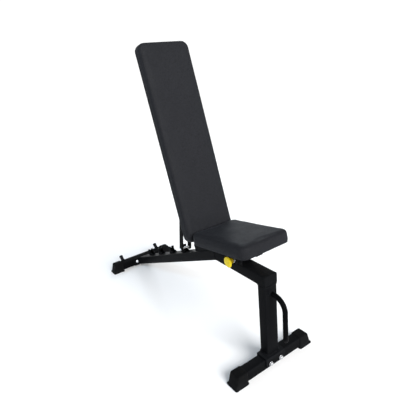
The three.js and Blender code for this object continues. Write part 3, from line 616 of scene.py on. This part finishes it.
# ---------------------------------------------------------------- bolts and nuts
def bolt_and_nut(bolt, nut, direction, across, washer_radius, body):
    """A hexagon bolt with washers. Its head and its nut sit at the far ends of the CAD nodes' boxes."""
    low, high = corners(bolt)
    nut_low, nut_high = corners(nut)
    axis = int(np.argmax(np.abs(direction)))
    sign = np.sign(direction[axis])
    direction = np.array(direction, float)
    centre = (low + high) / 2
    head_face = low[axis] if sign > 0 else high[axis]
    tail = high[axis] if sign > 0 else low[axis]
    nut_seat = nut_low[axis] if sign > 0 else nut_high[axis]
    nut_height = nut_high[axis] - nut_low[axis]
    shank = 0.35 * across
    head_height = 0.4 * across
    top = centre.copy()
    top[axis] = head_face
    parts = [hexagon(across, head_height - 0.0016, top, direction, (True, False)),
             washer(shank * 0.9, washer_radius, 0.0016, top + direction * (head_height - 0.0016), direction),
             turned([(0, -0.0004), (0.3 * across, -0.0004), (0.34 * across, 0.0), (0, 0.0006)], top,
                    direction)]
    made(bolt + "_turned", parts, ZINC, body, nodes=[bolt], sharp=25)
    seat = centre.copy()
    seat[axis] = nut_seat
    end = abs(tail - nut_seat)
    parts = [washer(shank * 0.9, washer_radius, 0.0014, seat, direction),
             hexagon(across, nut_height - 0.0016, seat + direction * 0.0014, direction, (False, True)),
             thread(shank, nut_height - 0.004, end, seat, direction)]
    made(nut + "_turned", parts, ZINC, body, nodes=[nut], sharp=25)


for name in ("saddle", "flange"):
    for side in ("left", "right"):
        bolt_and_nut(f"{name}_bolt_{side}", f"{name}_nut_{side}", (-1, 0, 0), 0.0162, 0.0102, "frame")
for name, body in (("back_pivot", "frame"), ("seat_pivot", "frame"), ("strut_pivot", "strut")):
    bolt_and_nut(f"{name}_bolt", f"{name}_nut", (0, 1, 0), 0.0176, 0.0118, body)


def foot_pin():
    """The strut's foot pin, a bar with broken ends."""
    low, high = corners("strut_foot_pin")
    radius, length = (high[0] - low[0]) / 2, high[1] - low[1]
    outline = [(0, 0), (radius - 0.001, 0), (radius, 0.001), (radius, length - 0.001),
               (radius - 0.001, length), (0, length)]
    start = np.array([STRUT_FOOT[0], low[1], STRUT_FOOT[2]])
    made("strut_foot_pin_turned", [turned(outline, start, (0, 1, 0))], ZINC, "strut",
         nodes=["strut_foot_pin"])


foot_pin()


# ---------------------------------------------------------------- lift handle and pegs
def lift_handle():
    """A round tube out of the post, a quarter bend, then straight down; a rounded plug closes its end."""
    low, high = corners("lift_handle")
    radius, bend = (high[1] - low[1]) / 2, 0.056
    start_x, leg_x, top_z = low[0], high[0] - radius, high[2] - radius
    angle = np.linspace(0, math.pi / 2, 28)
    arc = np.stack([leg_x - bend + bend * np.sin(angle), 0 * angle, top_z - bend + bend * np.cos(angle)],
                   axis=1)
    path = evenly(np.vstack([[[start_x, 0, top_z]], arc, [[leg_x, 0, low[2]]]]), 0.003)
    tangent = np.gradient(path, axis=0)
    tangent /= np.linalg.norm(tangent, axis=1)[:, None]
    across = np.array([0.0, 1.0, 0.0])
    normal = np.cross(tangent, across)
    around = np.arange(40) / 40 * TURN
    ring = np.cos(around)[None, :, None] * normal[:, None] + np.sin(around)[None, :, None] * across
    ends = [np.repeat(point[None], 40, axis=1) for point in (path[:1], path[-1:])]
    closed = np.concatenate([ends[0], path[:, None] + radius * ring, ends[1]])
    made("lift_handle_bent", [surface(closed, around=True)], PAINT, "frame", nodes=["lift_handle"],
         sharp=50)
    collar = [(0, 0), (radius + 0.0052, 0), (radius + 0.0052, 0.0022), (radius + 0.0035, 0.0034),
              (radius - 0.001, 0.0036)]
    made("lift_handle_collar", [turned(collar, path[0] + [-0.0002, 0, 0], (1, 0, 0), 64)], PAINT, "frame",
         sharp=50)
    plug_low, plug_high = corners("lift_handle_plug")
    lip, tall = (plug_high[1] - plug_low[1]) / 2, plug_high[2] - plug_low[2]
    outline = rounded([(0, 0), (lip * 0.72, 0.0), (lip, 0.0045), (lip, tall - 0.0005), (lip - 0.0012, tall),
                       (0, tall)], 0.004, 8)
    centre = np.array([leg_x, 0, plug_low[2]])
    grooves = [swept(centre + np.stack([(lip + 0.0001) * np.cos(around), (lip + 0.0001) * np.sin(around),
                                        np.full(40, z)], axis=1), 0.0004, 8, closed=True)
               for z in (0.0065, 0.0085)]
    made("lift_handle_plug_moulded", [turned(outline, centre, (0, 0, 1)), *grooves], PLASTIC, "frame",
         nodes=["lift_handle_plug"], sharp=50)


lift_handle()


def band_peg(side):
    """A round peg rising backwards out of the rear foot, with a moulded cap on its end."""
    node, cap = f"band_peg_{side}", f"band_peg_{side}_cap"
    foot = middle("rear_foot_tube")
    y = middle(node)[1]
    radius = size(node)[1] / 2
    tip = middle(cap)
    direction = np.array([tip[0] - foot[0], 0, tip[2] - foot[2]])
    reach = float(np.linalg.norm(direction))
    direction /= reach
    cap_length = 0.009
    end = reach - cap_length / 2
    start = np.array([foot[0], y, foot[2]])
    outline = [(0, 0.024), (radius, 0.024), (radius, end - 0.0002), (0, end - 0.0002)]
    made(node + "_rolled", [turned(outline, start, direction)], PAINT, "frame", nodes=[node])
    lip = size(cap)[1] / 2
    cap_outline = rounded([(0, end), (lip - 0.0004, end), (lip, end + 0.001), (lip, end + cap_length - 0.003),
                           (lip - 0.004, end + cap_length), (0, end + cap_length)], 0.003, 7)
    made(cap + "_moulded", [turned(cap_outline, start, direction)], PLASTIC, "frame", nodes=[cap], sharp=50)
    along, first, second = axes_for(direction)
    angle = np.arange(72) / 72 * TURN
    ring = start + radius * (np.cos(angle)[:, None] * first + np.sin(angle)[:, None] * second)
    half = size("rear_foot_tube")[0] / 2
    to_back = (foot[0] - half - ring[:, 0]) / along[0]
    to_top = (foot[2] + half - ring[:, 2]) / along[2]
    leaves = np.minimum(to_back, to_top)
    bead = swept(ring + leaves[:, None] * along, 0.0022, 10, closed=True, ripple=0.35)
    made(node + "_weld", [bead], PAINT, "frame")


band_peg("left")
band_peg("right")


# ---------------------------------------------------------------- pull pin
def pull_knob():
    """A mushroom knob: a domed disc with a shallow ring, a soft rim, and a fluted neck."""
    low, high = corners("pop_pin_knob")
    centre = middle("pop_pin_knob")
    centre[1] = low[1]
    rim, depth = (high[0] - low[0]) / 2, high[1] - low[1]
    neck = 0.0128
    outline = [(0, 0.0002), (rim * 0.30, 0.0003), (rim * 0.52, 0.0007), (rim * 0.60, 0.0009),
               (rim * 0.63, 0.0016), (rim * 0.67, 0.0016), (rim * 0.70, 0.0011), (rim * 0.82, 0.0018),
               (rim * 0.92, 0.0028), (rim * 0.98, 0.0042), (rim, 0.0058), (rim * 0.99, 0.0074),
               (rim * 0.95, 0.0087), (rim * 0.86, 0.0096), (neck + 0.004, 0.0102), (neck + 0.0015, 0.0112),
               (neck, 0.0135), (neck - 0.0003, 0.017), (neck - 0.0003, depth - 0.003),
               (neck, depth - 0.0016), (neck - 0.0006, depth - 0.0003), (neck - 0.003, depth),
               (0.0098, depth), (0.0098, depth - 0.011), (0, depth - 0.011)]

    def flutes(angle, d):
        """Ten shallow scallops round the neck, fading out towards the disc and the mouth."""
        on_neck = np.clip((d - 0.012) / 0.002, 0, 1) * np.clip((depth - 0.002 - d) / 0.002, 0, 1)
        return 1 - 0.055 * on_neck * (0.5 + 0.5 * np.cos(10 * angle))

    dense = np.vstack([rounded(outline[:17], 0.0012, 3), outline[17:]])
    made("pop_pin_knob_moulded", [turned(dense, centre, (0, 1, 0), 120, flutes)], YELLOW, "pop_pin",
         nodes=["pop_pin_knob"], sharp=45)


def pull_pin():
    """The pop pin's barrel with its hexagon and lock nut, the plunger's nose, and the coiled spring."""
    low = corners("pop_pin_barrel")[0]
    centre = middle("pop_pin_barrel")
    cheek = SEAT.box("seat_yoke")[0][1]
    base = np.array([centre[0], cheek - 0.0003, centre[2]])
    out = np.array([0.0, -1.0, 0.0])
    length = base[1] - low[1]
    parts = [washer(0.0071, 0.0122, 0.0012, base, out), hexagon(0.0216, 0.0065, base + out * 0.0012, out),
             turned([(0.0042, 0.0006), (0.009, 0.0006), (0.009, length - 0.0006), (0.0084, length),
                     (0.0045, length), (0.0045, length - 0.004)], base, out),
             turned([(0.0045, -0.0045), (0.007, -0.0045), (0.007, 0.0012)], base, out)]
    made("pop_pin_barrel_turned", parts, ZINC, "seat", nodes=["pop_pin_barrel"], sharp=25)
    pin_low, pin_high = corners("pop_pin_plunger")
    tip = np.array([centre[0], pin_high[1], centre[2]])
    long = pin_high[1] - pin_low[1]
    outline = rounded([(0, 0), (0.003, 0), (0.004, 0.002), (0.004, long), (0, long)], 0.001, 5)
    made("pop_pin_plunger_turned", [turned(outline, tip, out)], ZINC, "pop_pin", nodes=["pop_pin_plunger"])
    spring_low, spring_high = corners("pop_pin_spring")
    coils, coil_radius, wire = 5, 0.00515, 0.0006
    t = np.linspace(0, 1, 140)
    coil = np.stack([centre[0] + coil_radius * np.cos(TURN * coils * t),
                     spring_high[1] - wire + (spring_low[1] - spring_high[1] + 2 * wire) * t,
                     centre[2] + coil_radius * np.sin(TURN * coils * t)], axis=1)
    made("pop_pin_spring_wound", [swept(coil, wire, 10)], ZINC, "seat", nodes=["pop_pin_spring"])


pull_knob()
pull_pin()


# ---------------------------------------------------------------- welds
def loop_in(place, x, half_y, z_low, z_high, corner, tilt=0.0):
    """A rounded rectangle in the Y-Z plane at x, leaning by a tangent with depth below its top."""
    outline = rounded_rectangle(2 * half_y, z_high - z_low, corner, 8)
    z = (z_low + z_high) / 2 + outline[:, 1]
    points = np.stack([x + (z_high - z) * tilt, outline[:, 0], z], axis=1)
    return place.out(points)


def loop_on(place, x_low, x_high, y_low, y_high, z, corner):
    """A rounded rectangle in the X-Y plane at height z."""
    outline = rounded_rectangle(x_high - x_low, y_high - y_low, corner, 8)
    points = np.stack([(x_low + x_high) / 2 + outline[:, 0], (y_low + y_high) / 2 + outline[:, 1],
                       np.full(len(outline), z)], axis=1)
    return place.out(points)


def weld(name, paths, radius, body="frame", closed=True):
    """Weld beads with scales, one for each path, painted over like the steel they join."""
    beads = [swept(evenly(path, 0.0008, closed), radius, 10, closed, 0.4) for path in paths]
    made(name, beads, PAINT, body, sharp=70)


def frame_welds():
    """The welds of the frame: round the post, bend, end cap, flange, stops, handle and brackets."""
    post_low, post_high = corners("front_post")
    half = (post_high[1] - post_low[1]) / 2
    tube_corner = 0.006
    for name, z, radius in (("post_top_weld", BEAM_LOW[2], 0.0024),
                            ("post_foot_weld", post_low[2] + 0.0005, 0.0042)):
        weld(name, [loop_on(WORLD, post_low[0], post_high[0], -half, half, z, tube_corner)], radius)
    cap_end = corners("beam_end_cap")[1][0]
    for name, x, z_low, z_high, lean, radius in (
            ("bend_weld", BEND_X, BEAM_LOW[2], BEAM_TOP, math.tan(RAIL_ANGLE / 2), 0.0016),
            ("end_cap_weld", cap_end - 0.0042, BEAM_LOW[2], BEAM_TOP, 0.0, 0.0009),
            ("flange_weld", FLANGE_HIGH[0], RAIL_LOW[2] + 0.004, FLANGE_HIGH[2], 0.0, 0.0028)):
        weld(name, [loop_in(WORLD, x, BEAM_HIGH[1], z_low, z_high, tube_corner, lean)], radius)
    stops = []
    for index in range(1, STOPS + 1):
        low, high = RAIL.box(f"ladder_stop_{index}")
        stops.append(loop_on(RAIL, low[0], high[0], low[1], high[1], 0.0006, 0.002))
    weld("ladder_welds", stops, 0.0019)
    handle_low, handle_high = corners("lift_handle")
    radius = (handle_high[1] - handle_low[1]) / 2
    angle = np.arange(60) / 60 * TURN
    ring = np.stack([np.full(60, handle_low[0] + 0.0036), (radius + 0.001) * np.cos(angle),
                     handle_high[2] - radius + (radius + 0.001) * np.sin(angle)], axis=1)
    weld("lift_handle_weld", [ring], 0.0019)
    lines = []
    for side in ("left", "right"):
        low, high = corners(f"pivot_bracket_{side}")
        y = high[1] + 0.0004 if side == "left" else low[1] - 0.0004
        lines.append(np.array([[high[0] - 0.004, y, BEAM_TOP + 0.0004],
                               [BEND_X + 0.002, y, BEAM_TOP + 0.0004]]))
        lines.append(RAIL.out([[-0.145, y, 0.0004], [-0.002, y, 0.0004]]))
    low, high = corners("index_plate")
    lines.append(np.array([[low[0] + 0.002, high[1] + 0.0004, BEAM_TOP + 0.0004],
                           [high[0] - 0.002, high[1] + 0.0004, BEAM_TOP + 0.0004]]))
    weld("bracket_welds", lines, 0.0021, closed=False)


def moving_welds():
    """The welds of the moving parts: spreaders on their tubes, and the strut's brace and foot pin."""
    for body, place, spreaders in (("back", BACK, BACK_SPREADERS), ("seat", SEAT, SEAT_SPREADERS)):
        lines = []
        for spreader in spreaders:
            low, high = place.box(spreader)
            for x in (low[0] + 0.0005, high[0] - 0.0005):
                lines.append(place.out([[x, -0.017, low[2] + 0.0004], [x, 0.017, low[2] + 0.0004]]))
        weld(f"{body}_spreader_welds", lines, 0.0018, body, closed=False)
    angle = np.arange(60) / 60 * TURN
    rings = []
    for side in (-1, 1):
        for radius, y, z in ((0.0112, 0.023, -0.55 * STRUT_LENGTH), (0.0074, 0.029, -STRUT_LENGTH)):
            ring = np.stack([radius * np.cos(angle), np.full(60, side * y),
                             z + radius * np.sin(angle)], axis=1)
            rings.append(STRUT.out(ring))
    weld("strut_welds", rings, 0.0017, "strut")


frame_welds()
moving_welds()


# ---------------------------------------------------------------- tube plugs and pad screws
def tube_plug(name, place, x, sign, half_y, z_low, z_high, body):
    """A moulded plug in a tube's end: a domed plate with a step down to the tube's edge."""
    rows = []
    for inset, rise in ((0.0006, 0.0), (0.0002, 0.0006), (0.0004, 0.0014), (0.0014, 0.0021), (0.004, 0.0026)):
        outline = rounded_rectangle(2 * (half_y - inset), z_high - z_low - 2 * inset, 0.0035, 8)
        rows.append(np.stack([np.full(len(outline), x + sign * rise), outline[:, 0],
                              (z_low + z_high) / 2 + outline[:, 1]], axis=1))
    ends = [np.repeat(row.mean(axis=0)[None], len(row), axis=0) for row in (rows[0], rows[-1])]
    grid = place.out(np.array([ends[0], *rows, ends[1]]))
    made(name, [surface(grid, around=True)], PLASTIC, body, sharp=50)


def plugs():
    """Plugs in both ends of the seat's tube and in the lower end of the back's."""
    for name, place, node, side, half_z, body in (
            ("seat_tube_front_plug", SEAT, "seat_tube", 1, 0.015, "seat"),
            ("seat_tube_rear_plug", SEAT, "seat_tube", -1, 0.015, "seat"),
            ("back_tube_lower_plug", BACK, "back_tube", 1, 0.020, "back")):
        low, high = place.box(node)
        x = high[0] if side > 0 else low[0]
        tube_plug(name, place, x, side, 0.020, -half_z, half_z, body)


plugs()


def pad_screws(name, place, spreaders, body):
    """Four hexagon screws with washers under each spreader, two on each side of the tube."""
    parts = []
    down = place.turn @ np.array([0.0, 0.0, -1.0])
    for spreader in spreaders:
        low, high = place.box(spreader)
        x = (low[0] + high[0]) / 2
        for y in (-0.084, -0.052, 0.052, 0.084):
            seat = place.out([x, y, low[2]])
            parts.append(washer(0.003, 0.0085, 0.0014, seat, down))
            parts.append(hexagon(0.0128, 0.0052, seat + down * 0.0014, down))
    made(name, parts, ZINC, body, sharp=25)


pad_screws("back_pad_screws", BACK, BACK_SPREADERS, "back")
pad_screws("seat_pad_screws", SEAT, SEAT_SPREADERS, "seat")


# ---------------------------------------------------------------- pads
SIDE_ROOM = 0.0015  # the sewn shape is smaller than the stuffed pad by this on each side
CROWN_ROOM = 0.0015  # and by this at its top
EDGE_ROUND = 0.015  # the radius of its top edge
BOARD_SHOWS = 0.0012  # the board stands this far below the foam
PAD_CORNER = 0.036
SWELL_CAP = 0.0022  # the furthest that a point of the cover moves as it swells
GATHERS = 22  # gathers that a full turn round a corner would have
HEM_STEP = 0.0022  # along the hem, from one point to the next


def foam_shape(length, width, thickness):
    """The pad before it is stuffed: rounded rectangles stacked in Z, closed by a flat top and bottom.
    Near the top each ring is drawn in along a quarter circle."""
    top = thickness - CROWN_ROOM
    turn = np.linspace(0, math.pi / 2, 7)
    levels = [(0.0, 0.0012), (0.002, 0.0), (0.007, 0.0), (0.016, 0.0), (0.026, 0.0)]
    levels += [(top - EDGE_ROUND * (1 - math.sin(a)), EDGE_ROUND * (1 - math.cos(a))) for a in turn]
    rows = []
    for z, inset in levels:
        radius = max(PAD_CORNER - inset, 0.006)
        drawn_in = 2 * (SIDE_ROOM + inset)
        outline = rounded_rectangle(length - drawn_in, width - drawn_in, radius, 12)
        rows.append(np.column_stack([outline, np.full(len(outline), z)]))
    ends = [np.repeat(row.mean(axis=0)[None], len(row), axis=0) for row in (rows[0], rows[-1])]
    return surface(np.array([ends[0], *rows, ends[1]]), around=True)


def stuffed(name, length, width, thickness, voxel):
    """Remeshes the foam shape, swells it with cloth under pressure from a pinned base, limits how far each
    point moved, and gives back the points and faces of the relaxed cover."""
    points, faces = foam_shape(length, width, thickness)
    mesh = bpy.data.meshes.new(name)
    mesh.from_pydata(points.tolist(), [], faces.tolist())
    tidy(mesh)
    work = bpy.data.objects.new(name, mesh)
    bpy.context.scene.collection.objects.link(work)
    remesh = work.modifiers.new("even_quads", "REMESH")
    remesh.mode = "VOXEL"
    remesh.voxel_size = voxel
    relaxed = work.modifiers.new("even_out", "SMOOTH")
    relaxed.iterations = 3
    relaxed.factor = 0.5
    bake(work)
    start = coordinates(work.data)
    grip = work.vertex_groups.new(name="base")
    held_up_to, loose_from = 0.0075, 0.013
    height = start[:, 2]
    grip.add(np.nonzero(height < held_up_to)[0].tolist(), 1.0, "REPLACE")
    grip.add(np.nonzero((height >= held_up_to) & (height < loose_from))[0].tolist(), 0.5, "REPLACE")
    cloth = work.modifiers.new("cover", "CLOTH")
    settings = cloth.settings
    settings.quality = 6
    settings.mass = 0.35
    settings.tension_stiffness = settings.compression_stiffness = 60
    settings.shear_stiffness = 30
    settings.bending_stiffness = 6
    settings.use_pressure = True
    settings.uniform_pressure_force = 4.0
    settings.vertex_group_mass = "base"
    settings.effector_weights.gravity = 0
    cloth.collision_settings.use_collision = False
    cloth.collision_settings.use_self_collision = False
    last_frame = 20
    cloth.point_cache.frame_start, cloth.point_cache.frame_end = 1, last_frame
    for step in range(1, last_frame + 1):
        bpy.context.scene.frame_set(step)
    bake(work)
    bpy.context.scene.frame_set(1)
    move = coordinates(work.data) - start
    far = np.linalg.norm(move, axis=1)
    move *= np.minimum(1, SWELL_CAP / np.maximum(far, 1e-9))[:, None]
    held = start + evened(move, work.data, 4)
    held[:, :2] *= np.array([length, width]) / 2 / np.abs(held[:, :2]).max(axis=0)
    held[:, 2] *= thickness / held[:, 2].max()
    polygons = [list(polygon.vertices) for polygon in work.data.polygons]
    bpy.data.objects.remove(work)
    return held, polygons


def evened(values, mesh, rounds):
    """Each point's value replaced, round after round, by the mean of its own and its neighbours' mean."""
    ends = np.empty(len(mesh.edges) * 2, int)
    mesh.edges.foreach_get("vertices", ends)
    first, second = ends[0::2], ends[1::2]
    count = np.bincount(ends, minlength=len(values))[:, None]
    for _ in range(rounds):
        total = np.zeros_like(values)
        np.add.at(total, first, values[second])
        np.add.at(total, second, values[first])
        values = 0.5 * values + 0.5 * total / count
    return values


def bake(piece):
    """Applies a piece's modifiers by taking its evaluated mesh."""
    graph = bpy.context.evaluated_depsgraph_get()
    mesh = bpy.data.meshes.new_from_object(piece.evaluated_get(graph))
    old = piece.data
    piece.modifiers.clear()
    piece.data = mesh
    bpy.data.meshes.remove(old)


def coordinates(mesh):
    """A mesh's points, one row for each."""
    points = np.empty(len(mesh.vertices) * 3)
    mesh.vertices.foreach_get("co", points)
    return points.reshape(-1, 3)


def corner_angle(x, y, length, width):
    """How far a point is round the nearest corner, from 0 to 1, and the angle there."""
    dx, dy = np.abs(x) - (length / 2 - PAD_CORNER), np.abs(y) - (width / 2 - PAD_CORNER)
    angle = np.arctan2(np.maximum(dy, 0), np.maximum(dx, 1e-9))
    return np.where((dx > 0) & (dy > 0), np.sin(2 * angle), 0.0), angle


def pad(name, node, place, material, body, voxel):
    """A stuffed pad with gathers at its lower corners and a soft crown, standing for its CAD solid."""
    low, high = place.box(node)
    length, width, thickness = high - low
    points, faces = stuffed(name, length, width, thickness - BOARD_SHOWS, voxel)
    x, y, z = points.T
    on_corner, angle = corner_angle(x, y, length, width)
    fade = np.clip(1 - z / 0.030, 0, 1) ** 1.5
    outward = np.stack([x - np.sign(x) * (length / 2 - PAD_CORNER),
                        y - np.sign(y) * (width / 2 - PAD_CORNER)], axis=1)
    outward /= np.maximum(np.linalg.norm(outward, axis=1), 1e-9)[:, None]
    gather = 0.0009 * on_corner * fade * np.cos(GATHERS * angle)
    points[:, :2] += outward * gather[:, None]
    slack = 0.00045 * np.sin(x * 41 + 2.1 * np.sin(y * 23)) * np.sin(y * 37 + 1.3)
    points[:, 2] += slack * np.clip(z / thickness, 0, 1)
    points[:, 2] = np.clip(points[:, 2], 0, thickness - BOARD_SHOWS + 0.002)
    middle_x, middle_y = (low[0] + high[0]) / 2, (low[1] + high[1]) / 2
    local = points + np.array([middle_x, middle_y, low[2] + BOARD_SHOWS])
    piece = made(name, [(place.out(local), faces)], material, body, nodes=[node], sharp=180)
    smooth = piece.modifiers.new("smooth_cover", "SUBSURF")
    smooth.levels = smooth.render_levels = 1


def hem(name, node, place, material, body):
    """The cover's turned-under edge: a flat strip inside the pad's outline, gathered into pleats at the
    corners, with its inner edge a little wavy, and the staples that hold it."""
    low, high = place.box(node)
    length, width = high[0] - low[0], high[1] - low[1]
    centre = np.array([(low[0] + high[0]) / 2, (low[1] + high[1]) / 2, low[2]])
    outer = rounded_rectangle(length - 0.0104, width - 0.0104, 0.031, 40)
    outer = evenly(np.column_stack([outer, np.zeros(len(outer))]), HEM_STEP, closed=True)
    ahead, behind = np.roll(outer, -1, axis=0), np.roll(outer, 1, axis=0)
    tangent = ahead - behind
    tangent /= np.linalg.norm(tangent, axis=1)[:, None]
    inward = np.stack([-tangent[:, 1], tangent[:, 0], np.zeros(len(outer))], axis=1)
    along = np.arange(len(outer)) * HEM_STEP
    on_corner, _ = corner_angle(outer[:, 0], outer[:, 1], length, width)
    pleat = on_corner * np.maximum(0, np.sin(along / 0.0062 * TURN)) ** 2
    wavy = 0.0225 + 0.0011 * np.sin(along * 61) + 0.0007 * np.sin(along * 149 + 1)
    rows = []
    for share, drop in ((0.0, 0.0014), (0.02, -0.0009), (0.25, -0.0012), (0.6, -0.0012),
                        (0.97, -0.0011), (1.0, 0.0)):
        reach = share * wavy * (1 - 0.25 * on_corner)
        thick = drop - 0.0011 * pleat * (0.2 + share) * (drop < 0)
        rows.append(outer + inward * reach[:, None] + np.array([0, 0, 1]) * thick[:, None])
    rows.append(rows[-1] + np.array([0, 0, 0.0008]))
    rows.append(rows[0] + np.array([0, 0, 0.0006]))
    grid = place.out(np.array(rows) + centre)
    made(name, [surface(grid, around=True, ring=True)], material, body, sharp=60)
    spots = np.nonzero((np.arange(len(outer)) % 13 == 6) & (on_corner < 0.2))[0]
    parts = []
    for spot in spots:
        middle_point = outer[spot] + inward[spot] * 0.013 + np.array([0, 0, -0.0016]) + centre
        half = tangent[spot] * 0.0052
        legs = np.array([0, 0, 0.0012])
        line = np.array([middle_point - half + legs, middle_point - half, middle_point + half,
                         middle_point + half + legs])
        parts.append(swept(place.out(line), 0.00045, 6))
    made(name + "_staples", parts, ZINC, body, sharp=60)


pad("back_cushion", "back_pad", BACK, BACK_LEATHER, "back", 0.0060)
pad("seat_cushion", "seat_pad", SEAT, SEAT_LEATHER, "seat", 0.0050)
hem("back_cover_hem", "back_pad", BACK, BACK_LEATHER, "back")
hem("seat_cover_hem", "seat_pad", SEAT, SEAT_LEATHER, "seat")


# ---------------------------------------------------------------- stage
def stage():
    """A wide pale floor, a sky that is pale low down and dim overhead, and three soft lights."""
    mesh = bpy.data.meshes.new("floor")
    reach = 30.0
    mesh.from_pydata([(-reach, -reach, 0), (reach, -reach, 0), (reach, reach, 0), (-reach, reach, 0)], [],
                     [(0, 1, 2, 3)])
    floor = bpy.data.objects.new("floor", mesh)
    bpy.context.scene.collection.objects.link(floor)
    finish = Finish("pale_floor")
    tone = finish.mix(finish.noise(1.5, 3.0), (0.90, 0.90, 0.90), (0.92, 0.92, 0.92))
    mesh.materials.append(finish.look(Base_Color=tone, Roughness=0.85, Specular_IOR_Level=0.1))
    world = bpy.data.worlds.new("sky")
    bpy.context.scene.world = world
    world.use_nodes = True
    tree = world.node_tree
    background = tree.nodes["Background"]
    background.inputs["Color"].default_value = (1.0, 1.0, 1.0, 1)
    direction = tree.nodes.new("ShaderNodeTexCoord")
    height = tree.nodes.new("ShaderNodeSeparateXYZ")
    fade = tree.nodes.new("ShaderNodeMapRange")
    for socket, value in (("From Min", 0.25), ("From Max", 0.5), ("To Min", 1.1), ("To Max", 0.28)):
        fade.inputs[socket].default_value = value
    tree.links.new(direction.outputs["Generated"], height.inputs["Vector"])
    tree.links.new(height.outputs["Z"], fade.inputs["Value"])
    tree.links.new(fade.outputs["Result"], background.inputs["Strength"])
    for name, kind, spot, aim, wide, power, color in (
            ("front", "SUN", (3.0, 0.1, 1.85), (0, 0, 0), math.radians(40), 5.0, (1.0, 1.0, 1.0)),
            ("side", "AREA", (-1.5, -3.0, 2.7), (0.1, 0, 0.6), 0.7, 34, (0.42, 0.70, 1.0)),
            ("rim", "AREA", (-2.6, 2.2, 2.4), (0.0, 0, 0.8), 1.0, 25, (0.85, 0.93, 1.0))):
        light = bpy.data.lights.new(name, kind)
        light.energy, light.color = power, color
        if kind == "SUN":
            light.angle = wide
        else:
            light.size = wide
        lamp = bpy.data.objects.new(name, light)
        bpy.context.scene.collection.objects.link(lamp)
        lamp.location = spot
        lamp.rotation_euler = (Vector(aim) - Vector(spot)).to_track_quat("-Z", "Y").to_euler()


def camera():
    """The viewing angle: from the front right, a little above, with a slight roll."""
    azimuth, elevation, roll = (math.radians(value) for value in (56.35, 20.64, -5.48))
    backward = np.array([math.sin(azimuth) * math.cos(elevation), -math.cos(azimuth) * math.cos(elevation),
                         math.sin(elevation)])
    right = np.cross([0, 0, 1], backward)
    right /= np.linalg.norm(right)
    up = np.cross(backward, right)
    rolled_right = math.cos(roll) * right + math.sin(roll) * up
    rolled_up = -math.sin(roll) * right + math.cos(roll) * up
    place = np.array([1.00834 + FRONT_X, -0.93134, 1.27501])
    data = bpy.data.cameras.new("camera")
    data.sensor_width = 36.0
    data.lens = 33.10
    view = bpy.data.objects.new("camera", data)
    bpy.context.scene.collection.objects.link(view)
    matrix = np.eye(4)
    matrix[:3, 0], matrix[:3, 1], matrix[:3, 2], matrix[:3, 3] = rolled_right, rolled_up, backward, place
    view.matrix_world = Matrix(matrix.tolist())
    bpy.context.scene.camera = view


stage()
camera()
bpy.context.scene.view_settings.view_transform = "Standard"
